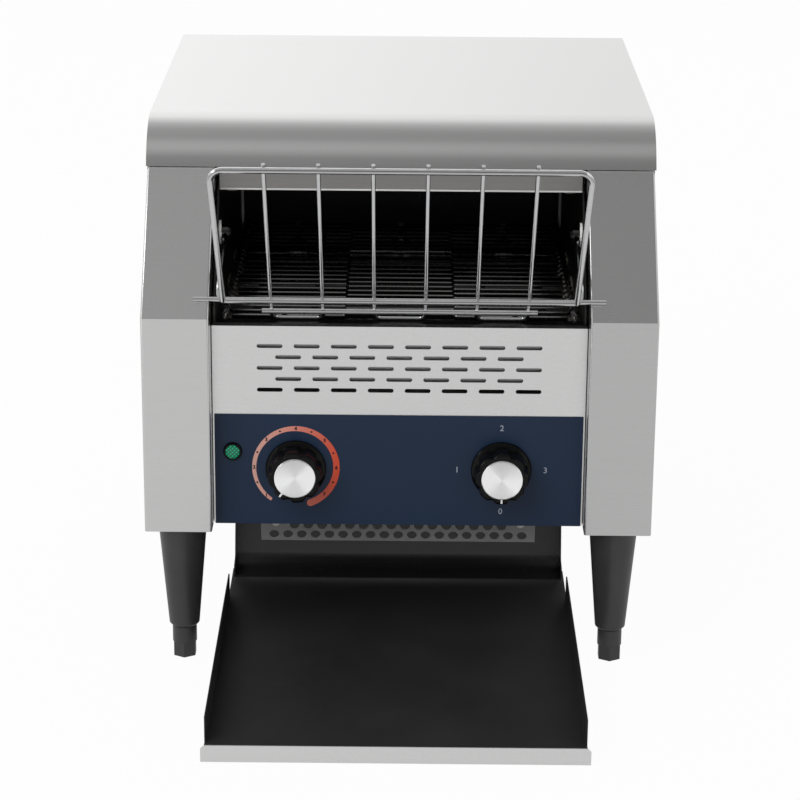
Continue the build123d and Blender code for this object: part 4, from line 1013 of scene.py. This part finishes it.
# ---------------------------------------------------------------- small fittings
@dataclass
class MouthTrim:
    """Hem under the lintel, upright ribs at the rear of the chamber walls, and pin washers, given
    light finishes as painted highlights.
    """

    hem: float = 1.1 * MM
    hem_proud: tuple[float, float] = (0.35 * MM, 0.25 * MM)
    hem_edge: float = 0.4 * MM
    rib_size: tuple[float, float] = (2.2 * MM, 2.6 * MM)
    rib_edge: float = 0.8 * MM
    rib_depth: float = 204.0 * MM
    rib_foot: float = 243.0 * MM
    rib_top: float = 335.0 * MM
    washer: Profile = ((8.6, 0.0), (8.7, 0.3), (8.7, 1.3), (8.4, 1.8), (7.9, 2.0), (3.1, 2.0))
    washer_sides: int = 48

    def build(self) -> None:
        """Make the hem, both ribs and both washers."""
        low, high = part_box("upper_reflector")
        left, right = low.x, high.x
        forward, down = self.hem_proud
        # Painted highlight: the hem takes the light zinc finish, brighter than the reflector it
        # edges, for its lit lower edge.
        hem = Bench.bar("lintel_hem", (left, low.y - forward, low.z - down),
                        (right, low.y + self.hem, low.z + self.hem), self.hem_edge)
        Bench.hand_over(hem, ZINC_AND_PAINTED_HIGHLIGHT, "casing", "inner_steel")
        thick, deep = self.rib_size
        # Painted highlight: the ribs take the light zinc finish, far brighter than the walls, for
        # the lit bends at the rear of the chamber.
        for side, inner in (("left", left), ("right", right - thick)):
            rib = Bench.bar(f"{side}_wall_rib", (inner, self.rib_depth, self.rib_foot),
                            (inner + thick, self.rib_depth + deep, self.rib_top), self.rib_edge)
            Bench.hand_over(rib, ZINC_AND_PAINTED_HIGHLIGHT, "casing", "inner_steel")
        _, depth, rise = middle("rack_pins")
        # Painted highlight: the washers are white for the bright crescent of light at the rack's
        # eyes.
        for side, wall, turn in (("left", left, 90.0), ("right", right, -90.0)):
            washer = Bench.turned(f"{side}_rack_washer", in_mm(self.washer), self.washer_sides)
            Bench.smooth(washer)
            Bench.put(washer, (wall, depth, rise), (0.0, turn, 0.0))
            Bench.hand_over(washer, WASHER_PAINTED_HIGHLIGHT, "casing", "machined_steel")


@dataclass
class CrossScrews:
    """Pan-head screws with a cross recess; each size is modelled once and copied."""

    rear_radius: float = 4.0 * MM
    rear_height: float = 1.9 * MM
    rear_rows: tuple[float, ...] = (110.0 * MM, 245.0 * MM, 367.0 * MM)
    rear_slew: float = 37.0
    guard_radius: float = 2.7 * MM
    guard_height: float = 1.0 * MM
    guard_lean: float = 18.0
    guard_slews: tuple[float, float] = (20.0, 65.0)
    pan: Profile = ((1.0, 0.0), (1.0, 0.4), (0.93, 0.7), (0.74, 0.93), (0.45, 1.0))
    recess: Point = (0.55, 0.1, 0.45)
    sides: int = 32
    smooth_angle: float = 35.0

    def screw(self, name: str, radius: float, height: float) -> Piece:
        """Screw head about Z.

        Args:
            name: Name of the piece.
            radius: Radius of the head.
            height: Height of the head.

        Returns:
            The head, standing on the origin.
        """
        profile = [(radius * across, height * rise) for across, rise in self.pan]
        head = Bench.turned(name, profile, self.sides)
        reach, half = radius * self.recess[0], radius * self.recess[1]
        depth = height * self.recess[2]
        for across, along in ((reach, half), (half, reach)):
            Bench.cut(head, Bench.bar("recess", (-across, -along, height - depth),
                                      (across, along, height + depth)))
        Bench.smooth(head, self.smooth_angle)
        return head

    @staticmethod
    def copies(head: Piece, places: Sequence[tuple[Point, float]], turn: Point,
               name: str) -> Piece:
        """Copies of a head in one piece.

        Args:
            head: The head, which is thrown away afterwards.
            places: Place of each copy, and its turn about its own axis in degrees.
            turn: Turn of all copies about X, Y and Z, in degrees.
            name: Name of the piece.

        Returns:
            The joined copies.
        """
        made = []
        for number, (place, slew) in enumerate(places):
            copy = Bench.copy(head, f"{head.name}_{number}")
            Bench.put(copy, (0.0, 0.0, 0.0), (0.0, 0.0, slew))
            Bench.put(copy, place, turn)
            made.append(copy)
        bpy.data.objects.remove(head)
        return Bench.join(made, name)

    def build(self) -> None:
        """Make the screws of the rear panel and of the guard."""
        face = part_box("rear_panel")[1].y
        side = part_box("rear_panel_screws")[1].x - self.rear_radius
        spots = [(x, face, z) for x in (-side, side) for z in self.rear_rows]
        rear = self.copies(self.screw("rear_screw", self.rear_radius, self.rear_height),
                           [(spot, self.rear_slew * number) for number, spot in enumerate(spots)],
                           (-90.0, 0.0, 0.0), "rear_cross_screws")
        Bench.hand_over(rear, TURNED_STEEL, "casing", "machined_steel", "rear_panel_screws")
        lean = math.radians(self.guard_lean)
        _, depth, rise = middle("guard_screws")
        depth += self.guard_height / 2 * math.cos(lean)
        rise += self.guard_height / 2 * math.sin(lean)
        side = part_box("guard_screws")[1].x - self.guard_radius
        places = [((x, depth, rise), slew) for x, slew in zip((-side, side), self.guard_slews)]
        guard = self.copies(self.screw("guard_screw", self.guard_radius, self.guard_height),
                            places, (90.0 + self.guard_lean, 0.0, 0.0), "guard_cross_screws")
        Bench.hand_over(guard, ZINC_AND_PAINTED_HIGHLIGHT, "casing", "machined_steel", "guard_screws")


@dataclass
class CableGland:
    """Hexagonal gland with a ribbed dome nut and a rubber seal.

    The shares of shoulder and dome are of the gland's width, that of the thread is of its
    height, and those of the ribs and crown are of the dome.
    """

    ribs: int = 18
    rib_depth: float = 0.05
    rib_inset: float = 0.02
    rib_edge: float = 0.12 * MM
    rib_angle: float = 30.0
    side_slope: float = 0.3
    crown: Profile = ((1.0, 0.0), (1.0, 0.55), (0.96, 0.8), (0.84, 0.96), (0.74, 1.0))
    dome_share: float = 0.37
    shoulder_share: float = 0.41
    hexagon_edge: float = 0.5 * MM
    thread_share: float = 0.39
    thread_length: float = 4.0 * MM
    seal: Profile = ((5.6, 0.0), (5.6, 0.5), (4.6, 0.9), (2.6, 0.9), (2.2, 0.2))
    round_sides: int = 32

    def dome(self, radius: float, height: float) -> Piece:
        """Dome nut about Z, with every second side drawn in between its ribs.

        Args:
            radius: Radius of the dome.
            height: Height of the dome.

        Returns:
            The dome, standing on the origin.
        """
        profile = [(radius * across, height * rise) for across, rise in self.crown]
        dome = Bench.turned("gland_dome", profile, self.ribs * 2)
        step = math.pi / self.ribs
        with Bench.editing(dome) as mesh:
            Bench.select(mesh, dome, lambda face: abs(face.normal.z) < self.side_slope and int(
                math.atan2(face.normal.y, face.normal.x) % (2 * math.pi) / step) % 2 == 0)
            bpy.ops.mesh.inset(thickness=radius * self.rib_inset, depth=-radius * self.rib_depth)
        Bench.ease(dome, self.rib_edge, 2, self.rib_angle)
        return dome

    def build(self) -> None:
        """Make the hexagon with its dome and the thread hidden in it, and the seal."""
        low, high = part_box("cable_gland")
        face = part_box("rear_panel")[1].y
        width, rise = high.x - low.x, high.z - low.z
        shoulder = (high.y - face) / 2
        hexagon = Bench.turned("gland_hexagon", ((width / 2, 0.0), (width / 2, shoulder),
                                                 (width * self.shoulder_share, shoulder)), 6)
        Bench.ease(hexagon, self.hexagon_edge, 2)
        Bench.put(hexagon, (0.0, 0.0, 0.0), (0.0, 0.0, 90.0))
        bore = rise * self.thread_share
        thread = Bench.turned("gland_thread", ((bore, 0.0), (bore, self.thread_length)),
                              self.round_sides)
        dome = self.dome(width * self.dome_share, high.y - face - shoulder)
        Bench.put(dome, (0.0, 0.0, shoulder))
        body = Bench.join([hexagon, thread, dome], "gland_body")
        seal = Bench.turned("gland_seal", in_mm(self.seal), self.round_sides)
        seal_height = max(height for _, height in self.seal) * MM
        Bench.put(seal, (0.0, 0.0, high.y - face - seal_height))
        across, _, up = middle("cable_gland")
        for piece, finish, replaced in ((body, INNER_PLASTIC, ("cable_gland",)),
                                        (seal, RUBBER, ())):
            Bench.put(piece, (across, face, up), (-90.0, 0.0, 0.0))
            Bench.hand_over(piece, finish, "casing", "black_plastic", *replaced)


# ---------------------------------------------------------------- controls
@dataclass
class Knob:
    """Skirted knob with a lobed grip, a spun cap and a white pointer."""

    name: str
    pointer: float
    body: str
    lobes: int = 8
    lobe_depth: float = 2.0 * MM
    lobe_power: float = 1.5
    edge: float = 0.35 * MM
    edge_angle: float = 24.0
    weld_gap: float = 0.01 * MM
    rim: tuple[float, float] = (0.5 * MM, 0.9 * MM)
    rim_shares: Point = (0.7, 0.86, 0.9)
    hub: float = 0.3 * MM
    tick_size: Point = (3.3 * MM, 1.35 * MM, 0.5 * MM)
    tick_edge: float = 0.2 * MM
    sides: int = 96
    skirt: Profile = ((21.6, 0.0), (22.0, 0.5), (21.9, 1.6), (21.3, 2.7), (20.3, 3.3),
                      (19.2, 3.5))
    grip: Profile = ((19.6, 4.1), (19.45, 12.0), (19.3, 18.4), (19.0, 19.6), (18.3, 20.3),
                     (15.4, 20.5))

    def shape(self) -> Piece:
        """Skirt and grip about Z, with the grip's side drawn in between the lobes.

        Returns:
            The knob, standing on the origin.
        """
        knob = Bench.turned(f"{self.name}_knob_body", in_mm((*self.skirt, *self.grip)), self.sides)
        start = (self.grip[0][1] - 0.1) * MM  # just under the grip's foot
        with Bench.editing(knob) as mesh:
            for vertex in mesh.verts:
                if vertex.co.z > start:
                    angle = math.atan2(vertex.co.y, vertex.co.x)
                    reach = math.hypot(vertex.co.x, vertex.co.y)
                    scallop = max(0.0, -math.cos(self.lobes * angle)) ** self.lobe_power
                    share = 1 - self.lobe_depth * scallop / reach
                    vertex.co.x *= share
                    vertex.co.y *= share
            bmesh.update_edit_mesh(knob.data)
        Bench.ease(knob, self.edge, 2, self.edge_angle)
        Bench.weld(knob, self.weld_gap)
        Bench.smooth(knob, self.edge_angle)
        return knob

    def tick(self) -> Piece:
        """Raised white pointer from the cap to the edge of the grip.

        Returns:
            The pointer along X, above the origin.
        """
        low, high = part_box(f"{self.name}_knob_cap")
        start, top = (high.x - low.x) / 2, self.grip[-1][1] * MM
        length, width, thick = self.tick_size
        tick = Bench.bar(f"{self.name}_knob_pointer", (start, -width / 2, top - thick / 2),
                         (start + length, width / 2, top + thick / 2))
        Bench.ease(tick, self.tick_edge, 2)
        return tick

    def cap(self) -> Piece:
        """Spun disc with a turned rim.

        Returns:
            The disc in its place.
        """
        low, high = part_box(f"{self.name}_knob_cap")
        radius, rise = (high.x - low.x) / 2, high.y - low.y
        shoulder, groove, dish = (rise * share for share in self.rim_shares)
        profile = ((radius, 0.0), (radius, shoulder), (radius - self.rim[0], rise),
                   (radius - self.rim[1], groove), (self.hub, dish))
        cap = Bench.turned(f"{self.name}_knob_disc", profile, self.sides)
        Bench.smooth(cap, self.edge_angle)
        Bench.put(cap, seat(f"{self.name}_knob_cap"), (90.0, 0.0, 0.0))
        return cap

    def build(self) -> None:
        """Make the knob, its pointer and its cap."""
        place = seat(f"{self.name}_knob")
        parts = ((self.shape(), KNOB_PLASTIC, "knob_black", (f"{self.name}_knob",)),
                 (self.tick(), TICK_WHITE, "spun_cap", ()))
        for piece, finish, slot, replaced in parts:
            Bench.put(piece, (0.0, 0.0, 0.0), (0.0, 0.0, self.pointer))
            Bench.put(piece, place, (90.0, 0.0, 0.0))
            Bench.hand_over(piece, finish, self.body, slot, *replaced)
        node = f"{self.name}_knob_cap"
        finish = Spun(f"{self.name}_spun_disc", CAP_ALUMINIUM, 0.3, middle(node))
        Bench.hand_over(self.cap(), finish, self.body, "spun_cap", node)


@dataclass
class PilotLamp:
    """Round bezel with a domed green lens."""

    sides: int = 64
    smooth_angle: float = 40.0
    bezel: Profile = ((6.8, 0.0), (6.8, 1.2), (6.3, 2.0), (5.6, 2.2), (5.25, 1.9), (5.22, 1.2))
    lens: Profile = ((5.2, 0.0), (5.2, 1.0), (4.95, 1.35), (3.9, 1.65), (2.4, 1.8), (0.4, 1.85))

    def build(self) -> None:
        """Make the bezel and its lens."""
        place = seat("lamp_lens")
        front = (place[0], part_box("control_fascia")[0].y, place[2])
        green = Lens("green_lens", LENS_GREEN, place)
        for name, profile, spot, finish, slot, replaced in (
                ("pilot_bezel", self.bezel, front, KNOB_PLASTIC, "knob_black", ()),
                ("pilot_lens", self.lens, place, green, "green_lens", ("lamp_lens",))):
            piece = Bench.turned(name, in_mm(profile), self.sides)
            Bench.smooth(piece, self.smooth_angle)
            Bench.put(piece, spot, (90.0, 0.0, 0.0))
            Bench.hand_over(piece, finish, "casing", slot, *replaced)


@dataclass
class DialPrint:
    """Print on the fascia: a ring that grows thicker, with plain numbers, dots and marks."""

    ink: float = 0.06 * MM
    ring_raise: float = 0.8 * MM
    outer: float = 31.65 * MM
    thin: float = 2.4 * MM
    thick: float = 5.2 * MM
    start: float = 235.0
    end: float = -74.0
    steps: int = 96
    ring_gap: float = 0.01 * MM
    ring_fade: float = 0.03
    positions: int = 13
    first_angle: float = 225.0
    angle_step: float = 22.5
    number_height: float = 2.6 * MM
    number_weight: float = 0.17 * MM
    dot_radius: float = 0.75 * MM
    dot_top: float = 0.97
    dot_sides: int = 16
    mark_angles: tuple[float, ...] = (-90.0, 180.0, 90.0, 0.0)
    mark_height: float = 4.6 * MM
    mark_weight: float = 0.05 * MM
    mark_reach: float = 32.0 * MM
    type_scale: float = 1.35
    type_gap: float = 0.004 * MM

    def width_at(self, share: float) -> float:
        """Width of the ring, by the share of its length from 0 to 1."""
        return self.thin + (self.thick - self.thin) * share

    def ring(self, centre: Point) -> Piece:
        """Crescent from the start angle, clockwise to the end angle, with rounded ends.

        Args:
            centre: Middle of the dial on the fascia's face.

        Returns:
            The printed ring.
        """
        Bench.clear()
        bpy.ops.mesh.primitive_grid_add(x_subdivisions=self.steps, y_subdivisions=2, size=1.0)
        ring = bpy.context.object
        ring.name = "dial_ring_print"
        length = math.radians(abs(self.end - self.start)) * self.outer
        with Bench.editing(ring, everything=True) as mesh:
            for vertex in mesh.verts:
                along = (1 - math.cos(math.pi * (vertex.co.x + 0.5))) / 2
                across = vertex.co.y + 0.5
                angle = math.radians(self.start + (self.end - self.start) * along)
                width = self.width_at(along)
                edge = min(along, 1 - along) * length / (width / 2)
                half = width / 2 * math.sqrt(max(0.0, 1 - max(0.0, 1 - edge) ** 2))
                reach = self.outer - width / 2 + (2 * across - 1) * half
                vertex.co = (reach * math.cos(angle), reach * math.sin(angle), 0.0)
            bmesh.update_edit_mesh(ring.data)
            bpy.ops.mesh.remove_doubles(threshold=self.ring_gap)
            bpy.ops.mesh.normals_make_consistent(inside=False)
        Bench.modify(ring, "SOLIDIFY", thickness=self.ink, offset=1.0)
        Bench.put(ring, centre, (90.0, 0.0, 0.0))
        return ring

    def figure(self, text: str, height: float, weight: float, place: Point, name: str) -> Piece:
        """Plain figure laid on the fascia.

        Args:
            text: The figure.
            height: Height of the type.
            weight: How far its strokes are thickened.
            place: Middle of the figure on the fascia's face.
            name: Name of the piece.

        Returns:
            The figure as a thin mesh.
        """
        Bench.clear()
        bpy.ops.object.text_add()
        figure = bpy.context.object
        figure.name = name
        settings = {"body": text, "size": height * self.type_scale, "align_x": "CENTER",
                    "align_y": "CENTER", "extrude": self.ink / 2, "offset": weight,
                    "resolution_u": 4}
        for key, value in settings.items():
            setattr(figure.data, key, value)
        Bench.pick(figure)
        bpy.ops.object.convert(target="MESH")
        Bench.weld(figure, self.type_gap)
        Bench.put(figure, place, (90.0, 0.0, 0.0))
        return figure

    def dot(self, place: Point, name: str) -> Piece:
        """Small round dot laid on the fascia.

        Args:
            place: Middle of the dot on the fascia's face.
            name: Name of the piece.

        Returns:
            The dot.
        """
        top = self.dot_radius * self.dot_top
        dot = Bench.turned(name, ((self.dot_radius, 0.0), (top, self.ink / 2)), self.dot_sides)
        Bench.put(dot, place, (90.0, 0.0, 0.0))
        return dot

    def build(self) -> None:
        """Print the ring, its figures and dots, and the selector's four marks."""
        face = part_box("control_fascia")[0].y
        across, _, rise = middle("colour_knob")
        rise += self.ring_raise
        ink = Ink("dial_ring_ink", RING_ORANGE, RING_RED, across, self.ring_fade)
        Bench.hand_over(self.ring((across, face, rise)), ink, "casing", "navy_panel")
        figures = []
        for position in range(self.positions):
            angle = math.radians(self.first_angle - self.angle_step * position)
            reach = self.outer - self.width_at(position / (self.positions - 1)) / 2
            place = (across + reach * math.cos(angle), face - 2 * self.ink,
                     rise + reach * math.sin(angle))
            if position % 2:
                figures.append(self.dot(place, f"dial_dot_{position}"))
            else:
                figures.append(self.figure(str(position // 2 + 1), self.number_height,
                                           self.number_weight, place, f"dial_figure_{position}"))
        dial = Bench.join(figures, "dial_figures_print")
        Bench.hand_over(dial, PRINT_DARK, "casing", "navy_panel")
        across, _, rise = middle("selector_knob")
        marks = []
        for number, angle in enumerate(self.mark_angles):
            turn = math.radians(angle)
            place = (across + self.mark_reach * math.cos(turn), face - self.ink,
                     rise + self.mark_reach * math.sin(turn))
            marks.append(self.figure(str(number), self.mark_height, self.mark_weight, place,
                                     f"selector_mark_{number}"))
        selector = Bench.join(marks, "selector_marks_print")
        Bench.hand_over(selector, PRINT_GREY, "casing", "navy_panel")


# ---------------------------------------------------------------- wire belt
@dataclass
class WireBelt:
    """Belt of bent wire strands, each hooked round the next at both edges."""

    pitch: float = 11.7 * MM
    teeth: int = 12
    run_links: int = 22
    wire: float = 1.8 * MM
    half_width: float = 129.1 * MM
    lane: float = 40.0 * MM
    edge: float = 5.0 * MM
    bend: float = 0.6 * MM
    edge_slant: float = 0.4 * MM
    lane_slant: float = 0.3 * MM
    hook_inset: float = 2.6 * MM
    hook_radius: float = 2.0 * MM
    hook_start: float = -150.0
    hook_sweep: float = 285.0
    hook_steps: int = 7
    hook_lead: tuple[float, float] = (3.4 * MM, 0.5 * MM)
    hook_exit: float = 5.2 * MM
    smooth_angle: float = 50.0

    def strand_points(self) -> list[Point]:
        """Half of a strand's line, from its hook to the middle.

        Returns:
            Its points, as X, along the belt, and up.
        """
        half, edge_x = self.pitch / 2, self.half_width - self.wire / 2
        rod, inner = half + self.pitch, edge_x - self.edge
        hook = []
        for step in range(self.hook_steps):
            angle = math.radians(self.hook_start + self.hook_sweep * step / (self.hook_steps - 1))
            hook.append((edge_x - self.hook_inset, rod + self.hook_radius * math.cos(angle),
                         self.hook_radius * math.sin(angle)))
        back, up = self.hook_lead
        near, far = self.lane + self.wire / 2, self.lane - self.wire / 2
        flat = ((edge_x, rod - self.hook_exit), (edge_x, half + self.bend),
                (edge_x - self.bend, half), (inner + self.bend, half),
                (inner - self.edge_slant, half - self.bend),
                (inner - self.wire + self.edge_slant, self.bend),
                (inner - self.wire - self.bend, 0.0), (near + self.bend, 0.0),
                (near - self.lane_slant, self.bend), (far + self.lane_slant, half - self.bend),
                (far - self.bend, half))
        return [*hook, (edge_x - self.hook_inset / 3, rod - back, up),
                *((x, along, 0.0) for x, along in flat)]

    def strand(self) -> Piece:
        """One strand about the origin, drawn as wire along its line.

        Returns:
            The strand.
        """
        half = self.strand_points()
        line = half + [(-x, y, z) for x, y, z in reversed(half)]
        curve = bpy.data.curves.new("belt_strand", "CURVE")
        curve.dimensions = "3D"
        curve.bevel_depth = self.wire / 2
        curve.bevel_resolution = 1
        curve.use_fill_caps = True
        spline = curve.splines.new("POLY")
        spline.points.add(len(line) - 1)
        for point, place in zip(spline.points, line):
            point.co = (*place, 1.0)
        strand = bpy.data.objects.new("belt_strand", curve)
        bpy.context.scene.collection.objects.link(strand)
        Bench.pick(strand)
        bpy.ops.object.convert(target="MESH")
        Bench.smooth(strand, self.smooth_angle)
        return strand

    def link_places(self) -> list[Point]:
        """Places of the strands round both shafts.

        Returns:
            Depth and height of each strand, and its heading in radians.
        """
        front, rear = middle("front_shaft")[1:], middle("rear_shaft")[1:]
        radius = self.pitch / (2 * math.sin(math.pi / self.teeth))
        points = []
        for here, there, turn in ((front, rear, 0.0), (rear, front, math.pi)):
            start = turn + math.pi / 2
            for link in range(self.run_links):
                run = link * self.pitch
                points.append((here[0] + radius * math.cos(start) + run * math.cos(turn),
                               here[1] + radius * math.sin(start) + run * math.sin(turn)))
            for tooth in range(self.teeth // 2):
                angle = start - tooth * 2 * math.pi / self.teeth
                points.append((there[0] + radius * math.cos(angle),
                               there[1] + radius * math.sin(angle)))
        return [(*here, math.atan2(there[1] - here[1], there[0] - here[0]))
                for here, there in zip(points, points[1:] + points[:1])]

    def build(self) -> None:
        """Copy the strand round both shafts."""
        strand = self.strand()
        copies = []
        for number, (depth, height, heading) in enumerate(self.link_places()):
            copy = Bench.copy(strand, f"belt_strand_{number}")
            copy.data.transform(Matrix.Translation((0.0, depth, height))
                                @ Matrix.Rotation(heading, 4, "X"))
            copies.append(copy)
        bpy.data.objects.remove(strand)
        belt = Bench.join(copies, "wire_belt")
        Bench.hand_over(belt, BELT_WIRE, "casing", "belt_wire", "conveyor_belt")


# ---------------------------------------------------------------- studio
@dataclass
class Studio:
    """Plain pale floor, soft lamps, grey card that the metal mirrors, and the camera."""

    eye: Point = (2.83 * MM, -1924.44 * MM, 807.2 * MM)
    yaw: float = -0.0012
    pitch: float = -0.3241
    roll: float = 0.0085
    lens: float = 119.55
    sensor: float = 36.0
    lamps: tuple[tuple[str, Point, float, float], ...] = (
        ("key_lamp", (-1.5, -1.9, 2.2), 2.2, 56.0),
        ("fill_lamp", (1.2, -2.6, 1.8), 2.4, 4.0),
        ("back_lamp", (0.2, 2.0, 2.2), 2.0, 18.0))
    lamp_aim: Point = (0.0, 0.0, 0.2)
    world_fill: float = 0.55
    card_radius: float = 2.6
    card_from: float = 10.0
    card_to: float = 175.0
    card_width: float = 5.0
    card_tones: tuple[tuple[float, float], ...] = (
        (10.0, 0.20), (30.0, 0.26), (46.0, 0.30), (60.0, 0.53), (70.0, 0.51), (80.0, 0.36),
        (97.0, 0.40), (112.0, 0.62), (130.0, 1.15), (175.0, 1.15))
    back_fall: float = 0.16
    fall_reach: float = 0.4
    strip_size: Point = (0.5, 1.5, 1.0)
    strip_place: Point = (-2.2, -0.7, 1.35)
    strip_turn: Point = (0.0, 112.0, 10.0)
    strip_strength: float = 5.0
    floor_size: float = 30.0
    floor_drop: float = 0.5 * MM
    floor_tone: float = 0.62
    floor_to_camera: float = 0.965
    floor_to_mirrors: float = 0.57

    def camera(self) -> None:
        """Place the camera."""
        data = bpy.data.cameras.new("camera")
        data.sensor_width = self.sensor
        data.lens = self.lens
        data.clip_start = 0.05
        data.clip_end = 60.0
        forward = Vector((math.sin(self.yaw) * math.cos(self.pitch),
                          math.cos(self.yaw) * math.cos(self.pitch), math.sin(self.pitch)))
        level = Vector((math.cos(self.yaw), -math.sin(self.yaw), 0.0))
        upright = level.cross(forward)
        right = math.cos(self.roll) * level + math.sin(self.roll) * upright
        upward = math.cos(self.roll) * upright - math.sin(self.roll) * level
        turn = Matrix((right, upward, -forward)).transposed().to_4x4()
        camera = bpy.data.objects.new("camera", data)
        camera.matrix_world = Matrix.Translation(self.eye) @ turn
        bpy.context.scene.collection.objects.link(camera)
        bpy.context.scene.camera = camera

    def light(self) -> None:
        """Hang the square soft lamps, which aren't mirrored in the metal."""
        for name, place, size, watts in self.lamps:
            data = bpy.data.lights.new(name, "AREA")
            data.energy = watts
            data.size = size
            lamp = bpy.data.objects.new(name, data)
            lamp.location = place
            aim = Vector(self.lamp_aim) - Vector(place)
            lamp.rotation_euler = aim.to_track_quat("-Z", "Y").to_euler()
            lamp.visible_glossy = False
            bpy.context.scene.collection.objects.link(lamp)

    def world(self) -> None:
        """White to the camera, to mirrors and to glass; a softer fill for the rest."""
        world = bpy.data.worlds.new("studio")
        bpy.context.scene.world = world
        world.use_nodes = True
        tree = world.node_tree
        background = tree.nodes["Background"]
        background.inputs["Color"].default_value = (1.0, 1.0, 1.0, 1.0)
        path = tree.nodes.new("ShaderNodeLightPath")
        shown = path.outputs["Is Camera Ray"]
        for ray in ("Is Glossy Ray", "Is Transmission Ray"):
            either = tree.nodes.new("ShaderNodeMath")
            either.operation = "MAXIMUM"
            tree.links.new(shown, either.inputs[0])
            tree.links.new(path.outputs[ray], either.inputs[1])
            shown = either.outputs[0]
        strength = tree.nodes.new("ShaderNodeMapRange")
        strength.inputs["To Min"].default_value = self.world_fill
        tree.links.new(shown, strength.inputs["Value"])
        tree.links.new(strength.outputs["Result"], background.inputs["Strength"])

    @staticmethod
    def mirror_only(card: Piece, made: Shader) -> None:
        """Dress a card and hide it from all but the mirror of metal and gloss.

        Args:
            card: The card.
            made: Its shader.
        """
        card.data.materials.append(made.material)
        card.visible_camera = card.visible_diffuse = False
        card.visible_shadow = card.visible_transmission = False

    def card(self) -> None:
        """Curved grey card over the front, whose tone changes with its height."""
        Bench.clear()
        bpy.ops.mesh.primitive_grid_add(x_subdivisions=1, y_subdivisions=40, size=1.0)
        card = bpy.context.object
        card.name = "grey_card"
        with Bench.editing(card) as mesh:
            for vertex in mesh.verts:
                share = vertex.co.y + 0.5
                angle = math.radians(self.card_from + (self.card_to - self.card_from) * share)
                vertex.co = (vertex.co.x * self.card_width, -self.card_radius * math.cos(angle),
                             self.card_radius * math.sin(angle))
            bmesh.update_edit_mesh(card.data)
        made = Shader("grey_card")
        across, depth, rise = (made.part(made.places(), axis) for axis in "XYZ")
        angle = made.sum(rise, made.sum(depth, -1.0, "MULTIPLY"), "ARCTAN2")
        level = self.card_tones[0][1]
        for (start, tone), (end, next_tone) in zip(self.card_tones, self.card_tones[1:]):
            if next_tone != tone:
                level = made.sum(level, made.spread(angle, 0.0, next_tone - tone,
                                                    math.radians(start), math.radians(end)))
        side = made.spread(across, 1.0, 1.0 - self.back_fall, -self.fall_reach, self.fall_reach)
        made.show(made.glow(made.sum(level, side, "MULTIPLY")))
        self.mirror_only(card, made)

    def strip(self) -> None:
        """Bright narrow card at the left, for a highlight in gloss."""
        Bench.clear()
        bpy.ops.mesh.primitive_plane_add(size=1.0)
        strip = bpy.context.object
        strip.name = "highlight_card"
        strip.scale = self.strip_size
        Bench.put(strip, self.strip_place, self.strip_turn)
        made = Shader("highlight_card")
        made.show(made.glow(self.strip_strength))
        self.mirror_only(strip, made)

    def floor(self) -> None:
        """Pale bench top that keeps the object's shadow and fades into the white."""
        Bench.clear()
        bpy.ops.mesh.primitive_plane_add(size=self.floor_size,
                                         location=(0.0, 0.0, -self.floor_drop))
        floor = bpy.context.object
        floor.name = "bench_top"
        made = Shader("pale_bench")
        made.set(Base_Color=(*[self.floor_tone] * 3, 1.0), Roughness=0.9, Specular_IOR_Level=0.0)
        path = made.node("ShaderNodeLightPath")
        mixed = made.node("ShaderNodeMixShader")
        share = made.sum(
            made.sum(path.outputs["Is Camera Ray"], self.floor_to_camera, "MULTIPLY"),
            made.sum(path.outputs["Is Glossy Ray"], self.floor_to_mirrors, "MULTIPLY"), "MAXIMUM")
        for place, value in enumerate((share, made.surface.outputs[0], made.glow(1.0))):
            made.feed(mixed.inputs[place], value)
        made.show(mixed.outputs[0])
        floor.data.materials.append(made.material)

    def build(self) -> None:
        """Set up the camera, the light and the floor."""
        self.camera()
        self.world()
        self.card()
        self.strip()
        self.floor()
        self.light()
        bpy.context.scene.view_settings.view_transform = "Standard"


def main() -> None:
    """Build every piece and report each step."""
    logging.basicConfig(level=logging.INFO, format="%(name)s: %(message)s")
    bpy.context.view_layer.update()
    assemblies = (
        Studio(),
        NodeFinishes(),
        EasedNodes(),
        MouthTrim(),
        CrossScrews(),
        CableGland(),
        Knob("colour", 232.0, "colour_control"),
        Knob("selector", 270.0, "selector_control"),
        PilotLamp(),
        DialPrint(),
        WireBelt(),
    )
    for assembly in assemblies:
        assembly.build()
        LOG.info("%s done", type(assembly).__name__)


if __name__ == "__main__":
    main()
